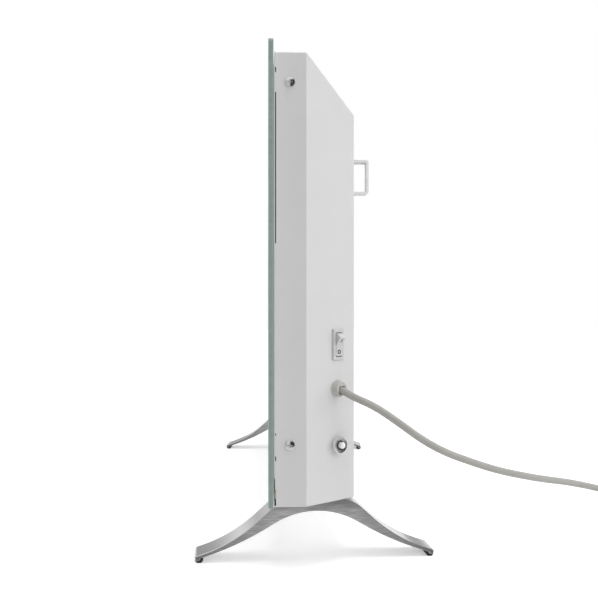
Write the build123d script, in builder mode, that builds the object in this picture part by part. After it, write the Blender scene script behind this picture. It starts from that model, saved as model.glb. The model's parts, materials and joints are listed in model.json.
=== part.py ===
from build123d import *
import os
from math import atan2, cos, degrees, hypot, pi, radians, sin, tan

os.makedirs("parts", exist_ok=True)

# Glass panel heater on two arched feet. Millimetres, +Z up, glass facing -Y, width along X.
# The origin lies on the floor, midway between the feet.

# Driving dimensions
glass_width = 800.0
glass_height = 440.0
glass_thickness = 5.0
glass_front = -46.25
glass_side_lap = 8.0
glass_top_lap = 11.0
casing_depth = 78.5
band_depth = 29.5
side_slope = 41.0
top_slope = 50.0
foot_height = 61.0
foot_depth = 238.0
foot_width = 35.0
foot_setback = 56.5
foot_splay = 4.0
cord_diameter = 7.0

# Sheet and plate thicknesses, clearances shared by pieces that fit
adhesive_thickness = 0.5
plate_sheet = 1.0
cover_sheet = 1.0
fit_gap = 0.3
overrun = 2.0

# Places worked out from the driving dimensions
casing_width = glass_width - 2 * glass_side_lap
casing_height = glass_height - glass_top_lap
foot_spread = casing_width - 2 * foot_setback
glass_back = glass_front + glass_thickness
plate_front = glass_back + adhesive_thickness
plate_back = plate_front + plate_sheet
casing_front = plate_back
knee = casing_front + band_depth
casing_rear = casing_front + casing_depth
casing_bottom = foot_height
casing_top = casing_bottom + casing_height
casing_middle = casing_bottom + casing_height / 2
rear_width = casing_width - 2 * side_slope
rear_height = casing_height - top_slope
rear_middle = casing_bottom + rear_height / 2
taper_depth = casing_depth - band_depth

# Sloped right-hand wall that carries the controls
wall_length = hypot(side_slope, taper_depth)
wall_run = Vector(-side_slope, taper_depth, 0) / wall_length
wall_out = Vector(taper_depth, side_slope, 0) / wall_length
controls_along = 41.0
switch_height = 213.2
grip_height = 170.3
reset_height = 115.7

# Sloped top that carries the air outlet
roof_length = hypot(top_slope, taper_depth)
roof_run = Vector(0, taper_depth, -top_slope) / roof_length
roof_out = Vector(0, top_slope, taper_depth) / roof_length

# Side screws and pan-head screw sizes
side_screw_setback = 14.0
side_screw_low = 58.6
side_screw_high_drop = 28.6
screw_head_radius = 4.5
screw_head_height = 2.6
screw_shank_radius = 1.9
screw_shank_length = 7.0
screw_hole_radius = 2.2
screw_cross_length = 5.2
screw_cross_width = 0.9
screw_cross_depth = 1.1
screw_head_bevel_share = 0.4

# Outlet opening in the sloped top and inlets below
outlet_setback = 72.0
outlet_length = casing_width - 2 * outlet_setback
outlet_height = 46.0
outlet_flange = 5.0
outlet_flange_proud = 1.2
outlet_skirt_depth = 11.0
outlet_wall = 1.6
blade_count = 5
blade_chord = 11.0
blade_thickness = 1.4
blade_tilt = 38.0
blade_sink = 4.6
rib_count = 7
rib_thickness = 1.6
rib_depth = 8.0
inlet_slot_length = 30.0
inlet_slot_width = 5.0
inlet_pitch = 40.0
inlet_row_pitch = 14.0
inlet_count = 14
rear_slot_height = 24.0
rear_slot_width = 5.0
rear_slot_pitch = 16.0
rear_slot_count = 24
rear_slot_rise = 34.0


def upright(y):
    """Plane at depth y that faces the room, x to the right and y up."""
    return Plane.XZ.offset(-y)


def wall_plane(height, proud=0.0):
    """Plane on the sloped right wall, x along the wall to the rear, y up, z outwards."""
    corner = Vector(casing_width / 2, knee, height)
    place = corner + wall_run * controls_along + wall_out * proud
    return Plane(origin=place, x_dir=wall_run, z_dir=wall_out)


def roof_plane(proud=0.0):
    """Plane on the sloped top, x along the width, y up the slope, z outwards."""
    ridge = Vector(0, knee, casing_top)
    place = ridge + roof_run * (roof_length / 2) + roof_out * proud
    return Plane(origin=place, x_dir=(1, 0, 0), z_dir=roof_out)


def side_plane(x, y, z, side=1):
    """Plane square to X at a point, looking outwards on the chosen side."""
    return Plane(origin=(x, y, z), x_dir=(0, side, 0), z_dir=(side, 0, 0))


def rear_plane(x, y, z):
    """Plane square to Y at a point, looking to the rear."""
    return Plane(origin=(x, y, z), x_dir=(-1, 0, 0), z_dir=(0, 1, 0))


def foot_place(side):
    """Place of a foot on the floor, turned a little so that its front toe points outwards."""
    return Location((side * foot_spread / 2, 0, 0), (0, 0, side * foot_splay))


def keep(part, name):
    part.label = name
    export_step(part, f"parts/{name}.step")


# Glass panel: toughened glass with ground arrises
glass_corner_radius = 4.0
glass_arris = 0.5
glass_middle = casing_bottom + glass_height / 2

with BuildPart() as glass_panel:
    with BuildSketch(upright(glass_front)):
        with Locations((0, glass_middle)):
            RectangleRounded(glass_width, glass_height, glass_corner_radius)
    extrude(amount=-glass_thickness)
    chamfer(glass_panel.faces().filter_by(Axis.Y).edges(), glass_arris)
keep(glass_panel.part, "glass_panel")

# Front plate with a window for the touch display and a notch by each silicone pad
pad_notch_low = 1.6
pad_notch_length = 14.8
plate_notch_length = 25.4
plate_notch_width = 3.0
display_from_side = 92.0
display_rise = 36.0
display_window_width = 90.0
display_window_height = 30.0
display_x = casing_width / 2 - display_from_side
display_z = casing_bottom + display_rise

with BuildPart() as front_plate:
    with BuildSketch(upright(plate_front)):
        with Locations((0, casing_middle)):
            Rectangle(casing_width, casing_height)
        with Locations((display_x, display_z)):
            Rectangle(display_window_width, display_window_height, mode=Mode.SUBTRACT)
        with Locations((0, casing_bottom + pad_notch_low + plate_notch_length / 2)):
            with GridLocations(casing_width, 0, 2, 1):
                Rectangle(2 * plate_notch_width, plate_notch_length, mode=Mode.SUBTRACT)
    extrude(amount=-plate_sheet)
keep(front_plate.part, "front_plate")

# Silicone beads between glass and plate: a ring and two cross beads
bead_width = 7.0
bead_setback = 10.0
cross_bead_share = 0.33

with BuildPart() as glass_adhesive:
    with BuildSketch(upright(glass_back)):
        with Locations((0, casing_middle)):
            Rectangle(casing_width - 2 * bead_setback, casing_height - 2 * bead_setback)
            Rectangle(
                casing_width - 2 * bead_setback - 2 * bead_width,
                casing_height - 2 * bead_setback - 2 * bead_width,
                mode=Mode.SUBTRACT,
            )
            with GridLocations(0, casing_height * cross_bead_share, 1, 2):
                Rectangle(casing_width - 2 * bead_setback, bead_width)
    extrude(amount=-adhesive_thickness)
keep(glass_adhesive.part, "glass_adhesive")

# Display board behind the window and the light block that touches the glass
display_board_lap = 6.0
display_board_thickness = 1.6

with BuildPart() as display_board:
    with BuildSketch(upright(plate_back)):
        with Locations((display_x, display_z)):
            Rectangle(
                display_window_width + 2 * display_board_lap,
                display_window_height + 2 * display_board_lap,
            )
    extrude(amount=-display_board_thickness)
keep(display_board.part, "display_board")

with BuildPart() as display_module:
    with BuildSketch(upright(glass_back)):
        with Locations((display_x, display_z)):
            Rectangle(display_window_width - 2 * fit_gap, display_window_height - 2 * fit_gap)
    extrude(amount=glass_back - plate_back)
keep(display_module.part, "display_module")

# Rear cover: side bands, sloped walls and top, air notches along the front rim
cover_bend_radius = 1.6
notch_depth = 1.0
long_notch_low = 248.6
long_notch_length = 142.4
short_notch_low = 409.8
short_notch_length = 4.8
mark_notch_low = 67.6
mark_notch_length = 2.0
small_notch_low = 43.6
small_notch_length = 4.4
notches = [
    (long_notch_low, long_notch_length),
    (short_notch_low, short_notch_length),
    (mark_notch_low, mark_notch_length),
    (small_notch_low, small_notch_length),
    (pad_notch_low, pad_notch_length),
]
switch_cut_width = 11.6
switch_cut_height = 29.0
grip_hole_radius = 6.4
reset_hole_radius = 4.8
bracket_spacing = 510.0
bracket_drop = 97.6
bracket_height = casing_top - bracket_drop
bracket_flange_reach = 26.2
foot_screw_spacing = 26.0
foot_screw_hole_radius = 2.7
outlet_cut_length = outlet_length
outlet_cut_height = outlet_height
inlet_middle = (knee + casing_rear) / 2 - inlet_row_pitch / 2
rear_slot_middle = casing_bottom + rear_slot_rise

with BuildPart() as rear_cover:
    with BuildSketch(upright(casing_front)):
        with Locations((0, casing_middle)):
            Rectangle(casing_width, casing_height)
    extrude(amount=-band_depth)
    with BuildSketch(upright(knee)):
        with Locations((0, casing_middle)):
            Rectangle(casing_width, casing_height)
    with BuildSketch(upright(casing_rear)):
        with Locations((0, rear_middle)):
            Rectangle(rear_width, rear_height)
    loft(ruled=True)
    front_rim = rear_cover.faces().sort_by(Axis.Y)[0]
    folds = rear_cover.edges() - front_rim.edges()
    fillet(folds, cover_bend_radius)
    offset(amount=-cover_sheet, openings=rear_cover.faces().sort_by(Axis.Y)[0])
    # Air notches in both side rims
    for low, length in notches:
        with Locations((0, casing_front, casing_bottom + low)):
            Box(
                casing_width + overrun,
                notch_depth,
                length,
                align=(Align.CENTER, Align.MIN, Align.MIN),
                mode=Mode.SUBTRACT,
            )
    # Side screw holes
    for side in (1, -1):
        for z in (casing_bottom + side_screw_low, casing_top - side_screw_high_drop):
            with BuildSketch(side_plane(side * casing_width / 2, casing_front + side_screw_setback, z, side)):
                Circle(screw_hole_radius)
            extrude(amount=-cover_sheet * overrun, mode=Mode.SUBTRACT)
    # Cut-outs for switch, cord grip and overload cut-out
    with BuildSketch(wall_plane(switch_height)):
        Rectangle(switch_cut_width, switch_cut_height)
    with BuildSketch(wall_plane(grip_height)):
        Circle(grip_hole_radius)
    with BuildSketch(wall_plane(reset_height)):
        Circle(reset_hole_radius)
    extrude(amount=-cover_sheet * overrun, mode=Mode.SUBTRACT)
    # Air outlet in the sloped top
    with BuildSketch(roof_plane()):
        Rectangle(outlet_cut_length, outlet_cut_height)
    extrude(amount=-cover_sheet * overrun, mode=Mode.SUBTRACT)
    # Air inlets in the floor, and the holes for the foot screws
    with BuildSketch(Plane.XY.offset(casing_bottom)):
        with Locations((0, inlet_middle)):
            with GridLocations(inlet_pitch, inlet_row_pitch, inlet_count, 2):
                SlotOverall(inlet_slot_length, inlet_slot_width)
        with Locations(foot_place(1), foot_place(-1)):
            with GridLocations(0, foot_screw_spacing, 1, 2):
                Circle(foot_screw_hole_radius)
    extrude(amount=cover_sheet * overrun, mode=Mode.SUBTRACT)
    # Lower rear inlets and the bracket screw holes
    with BuildSketch(upright(casing_rear)):
        with Locations((0, rear_slot_middle)):
            with GridLocations(rear_slot_pitch, 0, rear_slot_count, 1):
                SlotOverall(rear_slot_height, rear_slot_width, rotation=90)
        with Locations((0, bracket_height)):
            with GridLocations(bracket_spacing, 2 * bracket_flange_reach, 2, 2):
                Circle(screw_hole_radius)
    extrude(amount=cover_sheet * overrun, mode=Mode.SUBTRACT)
keep(rear_cover.part, "rear_cover")

# Fixing angles on the plate, which take the side screws
angle_sheet = 1.5
angle_foot = 12.0
angle_wall = 20.0
angle_end_gap = 24.0
angle_side_x = casing_width / 2 - cover_sheet - fit_gap
angle_top_z = casing_top - cover_sheet - fit_gap
angle_low_z = casing_bottom + cover_sheet + fit_gap
tapped_radius = 2.0

with BuildPart() as fixing_angles:
    for side in (1, -1):
        with BuildSketch(Plane.XY.offset(angle_low_z + angle_end_gap)):
            with BuildLine():
                Polyline(
                    (side * angle_side_x, plate_back),
                    (side * angle_side_x, plate_back + angle_wall),
                    (side * (angle_side_x - angle_sheet), plate_back + angle_wall),
                    (side * (angle_side_x - angle_sheet), plate_back + angle_sheet),
                    (side * (angle_side_x - angle_foot), plate_back + angle_sheet),
                    (side * (angle_side_x - angle_foot), plate_back),
                    close=True,
                )
            make_face()
        extrude(amount=angle_top_z - angle_low_z - 2 * angle_end_gap)
    for z, inward in ((angle_top_z, -1), (angle_low_z, 1)):
        with BuildSketch(Plane.YZ.offset(-angle_side_x + angle_end_gap)):
            with BuildLine():
                Polyline(
                    (plate_back, z),
                    (plate_back + angle_wall, z),
                    (plate_back + angle_wall, z + inward * angle_sheet),
                    (plate_back + angle_sheet, z + inward * angle_sheet),
                    (plate_back + angle_sheet, z + inward * angle_foot),
                    (plate_back, z + inward * angle_foot),
                    close=True,
                )
            make_face()
        extrude(amount=2 * angle_side_x - 2 * angle_end_gap)
    for side in (1, -1):
        for z in (casing_bottom + side_screw_low, casing_top - side_screw_high_drop):
            with BuildSketch(side_plane(side * angle_side_x, casing_front + side_screw_setback, z, side)):
                Circle(tapped_radius)
            extrude(amount=-angle_sheet * overrun, mode=Mode.SUBTRACT)
keep(fixing_angles.part, "fixing_angles")


def pan_head_screw():
    """Pan-head screw with a cross recess, its head above z = 0 and its shank below."""
    with BuildPart() as screw:
        Cylinder(screw_head_radius, screw_head_height, align=(Align.CENTER, Align.CENTER, Align.MIN))
        chamfer(screw.edges().sort_by(Axis.Z)[-1], screw_head_height * screw_head_bevel_share)
        with Locations((0, 0, screw_head_height)):
            for length, width in (
                (screw_cross_length, screw_cross_width),
                (screw_cross_width, screw_cross_length),
            ):
                Box(
                    length,
                    width,
                    screw_cross_depth,
                    align=(Align.CENTER, Align.CENTER, Align.MAX),
                    mode=Mode.SUBTRACT,
                )
        Cylinder(
            screw_shank_radius,
            screw_shank_length,
            align=(Align.CENTER, Align.CENTER, Align.MAX),
        )
    return screw.part


pan_screw = pan_head_screw()

# Side screws of the casing
with BuildPart() as cover_screws:
    for side in (1, -1):
        for z in (casing_bottom + side_screw_low, casing_top - side_screw_high_drop):
            seat = side_plane(side * casing_width / 2, casing_front + side_screw_setback, z, side)
            with Locations(seat):
                add(pan_screw)
keep(cover_screws.part, "cover_screws")

# Silicone pads in the low notches
pad_gap = 0.2
pad_length = 8.0
pad_rise = 6.4

with BuildPart() as corner_pads:
    for side in (1, -1):
        with Locations((side * casing_width / 2, plate_front + pad_gap, casing_bottom + pad_notch_low + pad_rise)):
            Box(
                cover_sheet,
                plate_sheet + notch_depth - pad_gap,
                pad_length,
                align=(Align.MAX if side > 0 else Align.MIN, Align.MIN, Align.MIN),
            )
keep(corner_pads.part, "corner_pads")

# Louvred outlet grille: flange on the sloped top, skirt through it, tilted blades and ribs
grille_inner_length = outlet_length - 2 * fit_gap - 2 * outlet_wall
grille_inner_height = outlet_height - 2 * fit_gap - 2 * outlet_wall
blade_pitch = grille_inner_height / blade_count

with BuildPart() as outlet_grille:
    with BuildSketch(roof_plane()):
        Rectangle(outlet_length + 2 * outlet_flange, outlet_height + 2 * outlet_flange)
        Rectangle(grille_inner_length, grille_inner_height, mode=Mode.SUBTRACT)
    extrude(amount=outlet_flange_proud)
    chamfer(
        outlet_grille.faces().sort_by(SortBy.AREA)[-1].outer_wire().edges(),
        outlet_flange_proud / 2,
    )
    with BuildSketch(roof_plane()):
        Rectangle(outlet_length - 2 * fit_gap, outlet_height - 2 * fit_gap)
        Rectangle(grille_inner_length, grille_inner_height, mode=Mode.SUBTRACT)
    extrude(amount=-outlet_skirt_depth)
    blade_section = Plane(
        origin=roof_plane().origin - Vector(grille_inner_length / 2, 0, 0),
        x_dir=roof_run,
        z_dir=(1, 0, 0),
    )
    with BuildSketch(blade_section):
        with Locations((0, -blade_sink)):
            with GridLocations(blade_pitch, 0, blade_count, 1):
                SlotOverall(blade_chord, blade_thickness, rotation=90 - blade_tilt)
    extrude(amount=grille_inner_length)
    with BuildSketch(roof_plane()):
        with GridLocations(grille_inner_length / (rib_count + 1), 0, rib_count, 1):
            Rectangle(rib_thickness, grille_inner_height)
    extrude(amount=-rib_depth)
keep(outlet_grille.part, "outlet_grille")

# Heat shield in front of the element, on spacers
shield_gap = 8.0
shield_sheet = 0.6
shield_rise = 40.0
shield_top_gap = 29.0
shield_height = casing_height - shield_rise - shield_top_gap
shield_lip = 9.0
element_left_gap = 62.0
control_bay = 202.0
element_length = casing_width - element_left_gap - control_bay
element_shift = (element_left_gap - control_bay) / 2
shield_front = plate_back + shield_gap
shield_back = shield_front + shield_sheet
shield_low = casing_bottom + shield_rise
shield_middle = shield_low + shield_height / 2

with BuildPart() as heat_shield:
    with BuildSketch(upright(shield_front)):
        with Locations((element_shift, shield_middle)):
            Rectangle(element_length, shield_height)
    extrude(amount=-shield_sheet)
    with BuildSketch(upright(shield_front)):
        with Locations((element_shift, shield_low), (element_shift, shield_low + shield_height)):
            Rectangle(element_length, shield_sheet)
    extrude(amount=-shield_lip)
keep(heat_shield.part, "heat_shield")

spacer_radius = 4.0
spacer_columns_share = 0.9
spacer_rows_share = 0.85

with BuildPart() as shield_spacers:
    with BuildSketch(upright(plate_back)):
        with Locations((element_shift, shield_middle)):
            with GridLocations(
                element_length * spacer_columns_share / 2, shield_height * spacer_rows_share, 3, 2
            ):
                Circle(spacer_radius)
    extrude(amount=-shield_gap)
keep(shield_spacers.part, "shield_spacers")

# Heating element: tube with four finned arms in an X
element_rise = 92.0
element_depth_back = 42.0
element_tube_radius = 6.5
element_arm_length = 23.0
element_arm_thickness = 2.2
fin_thickness = 1.2
fin_lengths = (12.0, 9.0, 6.0)
fin_start = 9.5
fin_pitch = 5.0
element_y = plate_back + element_depth_back
element_z = casing_bottom + element_rise
element_left = element_shift - element_length / 2

with BuildPart() as heating_element:
    with BuildSketch(Plane.YZ.offset(element_left)):
        with Locations((element_y, element_z)):
            Circle(element_tube_radius)
            with PolarLocations(0, 4, start_angle=45):
                Rectangle(
                    element_arm_length, element_arm_thickness, align=(Align.MIN, Align.CENTER)
                )
                for step, fin_length in enumerate(fin_lengths):
                    with Locations((fin_start + step * fin_pitch, 0)):
                        Rectangle(fin_thickness, fin_length)
    extrude(amount=element_length)
keep(heating_element.part, "heating_element")

# Element ends: pins, ceramic bushes and steel brackets
element_pin_radius = 3.0
element_pin_length = 28.0
bush_bore_radius = 3.2
bush_neck_radius = 6.5
bush_flange_radius = 9.0
bush_flange_length = 4.0
bush_neck_length = 9.0
element_bracket_gap = 10.0
element_bracket_sheet = 1.2
element_bracket_width = 34.0
element_bracket_foot = 14.0
element_bracket_reach = 58.0
bush_clearance = 0.2

with BuildPart() as element_pins:
    for side in (1, -1):
        end = element_shift + side * element_length / 2
        with BuildSketch(side_plane(end, element_y, element_z, side)):
            Circle(element_pin_radius)
        extrude(amount=element_pin_length)
keep(element_pins.part, "element_pins")

with BuildPart() as element_brackets:
    for side in (1, -1):
        face = element_shift + side * (element_length / 2 + element_bracket_gap)
        outer = face + side * element_bracket_sheet
        with BuildSketch(Plane.XY.offset(element_z - element_bracket_width / 2)):
            with BuildLine():
                Polyline(
                    (face, plate_back),
                    (face, plate_back + element_bracket_reach),
                    (outer, plate_back + element_bracket_reach),
                    (outer, plate_back + element_bracket_sheet),
                    (face + side * element_bracket_foot, plate_back + element_bracket_sheet),
                    (face + side * element_bracket_foot, plate_back),
                    close=True,
                )
            make_face()
        extrude(amount=element_bracket_width)
        with BuildSketch(side_plane(face, element_y, element_z, side)):
            Circle(bush_neck_radius + bush_clearance)
        extrude(amount=element_bracket_sheet, mode=Mode.SUBTRACT)
keep(element_brackets.part, "element_brackets")

with BuildPart() as element_bushes:
    for side in (1, -1):
        face = element_shift + side * (element_length / 2 + element_bracket_gap)
        with BuildSketch(side_plane(face, element_y, element_z, side)):
            Circle(bush_neck_radius)
            Circle(bush_bore_radius, mode=Mode.SUBTRACT)
        extrude(amount=bush_neck_length)
        with BuildSketch(side_plane(face, element_y, element_z, side)):
            Circle(bush_flange_radius)
            Circle(bush_bore_radius, mode=Mode.SUBTRACT)
        extrude(amount=-bush_flange_length)
keep(element_bushes.part, "element_bushes")

# Safety devices on the shield above the element
cutout_offset = 130.0
cutout_rise = 60.0
cutout_flange_width = 26.0
cutout_flange_height = 12.0
cutout_flange_sheet = 0.8
cutout_body_radius = 8.0
cutout_body_length = 9.0
cutout_tab_width = 6.3
cutout_tab_length = 8.0
cutout_tab_spacing = 9.0

with BuildPart() as thermal_cutout:
    cutout_place = (element_shift + cutout_offset, element_z + cutout_rise)
    with BuildSketch(upright(shield_back)):
        with Locations(cutout_place):
            Rectangle(cutout_flange_width, cutout_flange_height)
    extrude(amount=-cutout_flange_sheet)
    with BuildSketch(upright(shield_back + cutout_flange_sheet)):
        with Locations(cutout_place):
            Circle(cutout_body_radius)
    extrude(amount=-cutout_body_length)
    with BuildSketch(upright(shield_back + cutout_flange_sheet + cutout_body_length)):
        with Locations(cutout_place):
            with GridLocations(cutout_tab_spacing, 0, 2, 1):
                Rectangle(cutout_flange_sheet, cutout_tab_width)
    extrude(amount=-cutout_tab_length)
keep(thermal_cutout.part, "thermal_cutout")

fuse_body_radius = 2.2
fuse_body_length = 11.0
fuse_lead_radius = 0.6
fuse_lead_length = 34.0
fuse_clip_width = 7.0
fuse_clip_height = 8.0
fuse_clip_depth = 1.6
fuse_offset = 80.0

with BuildPart() as thermal_fuse:
    with BuildSketch(upright(shield_back)):
        with Locations((element_shift + fuse_offset, element_z + cutout_rise)):
            Rectangle(fuse_clip_width, fuse_clip_height)
    extrude(amount=-fuse_clip_depth)
    fuse_y = shield_back + fuse_clip_depth + fuse_body_radius / 2
    for radius, length in ((fuse_body_radius, fuse_body_length), (fuse_lead_radius, fuse_lead_length)):
        with BuildSketch(Plane.YZ.offset(element_shift + fuse_offset - length / 2)):
            with Locations((fuse_y, element_z + cutout_rise)):
                Circle(radius)
        extrude(amount=length)
keep(thermal_fuse.part, "thermal_fuse")

# Power board on four posts, with its relays, capacitor and transformer
board_width = 116.0
board_height = 92.0
board_thickness = 1.6
board_post_height = 8.0
board_post_radius = 3.0
board_post_inset = 5.0
board_from_side = 98.0
board_rise = 236.0
board_x = casing_width / 2 - board_from_side
board_z = casing_bottom + board_rise
board_face = plate_back + board_post_height + board_thickness
relay_width = 19.0
relay_height = 15.5
relay_depth = 15.8
relay_pitch = 24.0
power_block_width = 36.0
power_block_height = 22.0
power_block_depth = 17.0
smoothing_radius = 6.0
smoothing_depth = 18.0
board_row = 26.0

with BuildPart() as board_spacers:
    with BuildSketch(upright(plate_back)):
        with Locations((board_x, board_z)):
            with GridLocations(
                board_width - 2 * board_post_inset, board_height - 2 * board_post_inset, 2, 2
            ):
                Circle(board_post_radius)
    extrude(amount=-board_post_height)
keep(board_spacers.part, "board_spacers")

with BuildPart() as control_board:
    with BuildSketch(upright(plate_back + board_post_height)):
        with Locations((board_x, board_z)):
            Rectangle(board_width, board_height)
    extrude(amount=-board_thickness)
keep(control_board.part, "control_board")

with BuildPart() as board_parts:
    with BuildSketch(upright(board_face)):
        with Locations((board_x, board_z + board_row)):
            with GridLocations(relay_pitch, 0, 3, 1):
                Rectangle(relay_width, relay_height)
    extrude(amount=-relay_depth)
    with BuildSketch(upright(board_face)):
        with Locations((board_x - power_block_width / 2, board_z - board_row / 2)):
            Rectangle(power_block_width, power_block_height)
    extrude(amount=-power_block_depth)
    with BuildSketch(upright(board_face)):
        with Locations((board_x + board_row, board_z - board_row / 2)):
            Circle(smoothing_radius)
    extrude(amount=-smoothing_depth)
keep(board_parts.part, "board_parts")

# Terminal block on the plate, below the board
block_length = 36.0
block_height = 16.0
block_depth = 19.0
block_from_side = 86.0
block_rise = 126.0
block_bore_radius = 2.4
block_poles = 3
block_x = casing_width / 2 - block_from_side
block_z = casing_bottom + block_rise
pole_pitch = block_length / block_poles

with BuildPart() as terminal_block:
    with BuildSketch(upright(plate_back)):
        with Locations((block_x, block_z)):
            Rectangle(block_length, block_height)
    extrude(amount=-block_depth)
    with BuildSketch(upright(plate_back + block_depth)):
        with Locations((block_x, block_z)):
            with GridLocations(pole_pitch, 0, block_poles, 1):
                Circle(block_bore_radius)
    extrude(amount=block_depth / 2, mode=Mode.SUBTRACT)
keep(terminal_block.part, "terminal_block")

# Tip-over switch and room sensor on the casing floor
tip_length = 34.0
tip_depth = 18.0
tip_height = 22.0
tip_from_side = 142.0
tip_x = casing_width / 2 - tip_from_side
tip_ear = 7.0
tip_ear_sheet = 2.0
floor_top = casing_bottom + cover_sheet
tip_y = (knee + casing_rear) / 2

with BuildPart() as tip_over_switch:
    with BuildSketch(Plane.XY.offset(floor_top)):
        with Locations((tip_x, tip_y)):
            Rectangle(tip_length, tip_depth)
    extrude(amount=tip_height)
    with BuildSketch(Plane.XY.offset(floor_top)):
        with Locations((tip_x, tip_y)):
            Rectangle(tip_length + 2 * tip_ear, tip_depth)
    extrude(amount=tip_ear_sheet)
keep(tip_over_switch.part, "tip_over_switch")

sensor_base_length = 14.0
sensor_base_width = 9.0
sensor_base_height = 4.0
sensor_radius = 2.5
sensor_height = 22.0
sensor_from_side = 100.0
sensor_x = casing_width / 2 - sensor_from_side

with BuildPart() as room_sensor:
    with BuildSketch(Plane.XY.offset(floor_top)):
        with Locations((sensor_x, tip_y)):
            Rectangle(sensor_base_length, sensor_base_width)
    extrude(amount=sensor_base_height)
    with BuildSketch(Plane.XY.offset(floor_top + sensor_base_height)):
        with Locations((sensor_x, tip_y)):
            Circle(sensor_radius)
    extrude(amount=sensor_height)
    fillet(room_sensor.edges().sort_by(Axis.Z)[-1], sensor_radius / 2)
keep(room_sensor.part, "room_sensor")

# Rocker switch: bezel, body with a well, key on two stub pins
bezel_width = 14.4
bezel_height = 30.6
bezel_proud = 2.0
bezel_round = 0.9
bezel_corner_radius = 1.2
switch_body_depth = 23.0
well_width = 8.0
well_height = 23.7
well_depth = 11.0
pivot_sink = 3.2
rocker_width = 7.4
rocker_end_gap = 0.4
rocker_foot = 1.4
rocker_angle = 17.5
rocker_flush = 0.2
rocker_edge_round = 0.5
pivot_radius = 1.0
pivot_clearance = 0.05
pivot_reach = 0.8
pivot_hole_reach = 1.0
well_floor = bezel_proud - well_depth
pivot_proud = bezel_proud - pivot_sink

with BuildPart() as switch_housing:
    with BuildSketch(wall_plane(switch_height)):
        RectangleRounded(bezel_width, bezel_height, bezel_corner_radius)
    extrude(amount=bezel_proud)
    fillet(
        switch_housing.faces().sort_by(Axis(wall_plane(switch_height).origin, wall_out))[-1].edges(),
        bezel_round,
    )
    with BuildSketch(wall_plane(switch_height)):
        Rectangle(switch_cut_width - 2 * fit_gap, switch_cut_height - 2 * fit_gap)
    extrude(amount=-switch_body_depth)
    with BuildSketch(wall_plane(switch_height, bezel_proud)):
        Rectangle(well_width, well_height)
    extrude(amount=-well_depth, mode=Mode.SUBTRACT)
    pivot_start = wall_plane(switch_height, pivot_proud)
    with BuildSketch(
        Plane(
            origin=pivot_start.origin - wall_run * (rocker_width / 2 + pivot_hole_reach + fit_gap),
            x_dir=(0, 0, 1),
            z_dir=wall_run,
        )
    ):
        Circle(pivot_radius + pivot_clearance)
    extrude(amount=rocker_width + 2 * pivot_hole_reach + 2 * fit_gap, mode=Mode.SUBTRACT)
keep(switch_housing.part, "switch_housing")


def rocker_section(shift, turn):
    """Plane across the rocker at a shift along its pivot, x up the key and y outwards."""
    centre = wall_plane(switch_height, pivot_proud).origin + wall_run * shift
    up = Vector(0, 0, 1) * cos(radians(turn)) + wall_out * sin(radians(turn))
    return Plane(origin=centre, x_dir=up, z_dir=wall_run)


# The key is a shallow V with ends round about its pivot.
# At rest its O half lies flush and its I half stands out.
rocker_reach = well_height / 2 - rocker_end_gap
rocker_face_rise = (pivot_sink + rocker_flush) / cos(radians(rocker_angle))
rocker_tip_rise = rocker_face_rise + rocker_reach * tan(radians(rocker_angle))

with BuildPart() as rocker:
    with BuildSketch(rocker_section(-rocker_width / 2, rocker_angle)):
        with BuildLine():
            Polyline(
                (-rocker_reach, -rocker_foot),
                (rocker_reach, -rocker_foot),
                (rocker_reach, rocker_tip_rise),
                (0, rocker_face_rise),
                (-rocker_reach, rocker_tip_rise),
                close=True,
            )
        make_face()
        Circle(rocker_reach, mode=Mode.INTERSECT)
    extrude(amount=rocker_width)
    fillet(
        rocker.edges().filter_by(Axis((0, 0, 0), wall_run)).sort_by(Axis((0, 0, 0), wall_out))[-1],
        rocker_edge_round,
    )
    with BuildSketch(rocker_section(-rocker_width / 2 - pivot_reach, rocker_angle)):
        Circle(pivot_radius)
    extrude(amount=rocker_width + 2 * pivot_reach)
keep(rocker.part, "rocker")

# Blade terminals behind the switch
blade_terminal_width = 4.8
blade_terminal_sheet = 0.8
blade_terminal_length = 9.0
blade_terminal_pitch = 9.0

with BuildPart() as switch_terminals:
    with BuildSketch(wall_plane(switch_height, -switch_body_depth)):
        with GridLocations(0, blade_terminal_pitch, 1, 3):
            Rectangle(blade_terminal_width, blade_terminal_sheet)
    extrude(amount=-blade_terminal_length)
keep(switch_terminals.part, "switch_terminals")

# Cord grip: round head with a flat underside and a rectangular mouth that droops a little
grip_base_radius = 8.5
grip_face_radius = 6.9
grip_head_height = 6.3
grip_round = 0.9
grip_flat_drop = 7.6
grip_neck_gap = 0.2
grip_neck_length = 5.0
grip_barb_radius = 7.4
grip_barb_length = 14.0
mouth_side_gap = 0.25
mouth_drop = 1.4
mouth_width = cord_diameter + 2 * mouth_side_gap
mouth_height = cord_diameter + 2 * mouth_side_gap
mouth_depth = 4.0
cord_droop = 19.5

grip_face = wall_plane(grip_height, grip_head_height)
cord_out = wall_out * cos(radians(cord_droop)) - Vector(0, 0, 1) * sin(radians(cord_droop))
cord_start = grip_face.origin - Vector(0, 0, mouth_drop) - cord_out * mouth_depth
mouth_plane = Plane(origin=cord_start, x_dir=wall_run, z_dir=cord_out)

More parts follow.
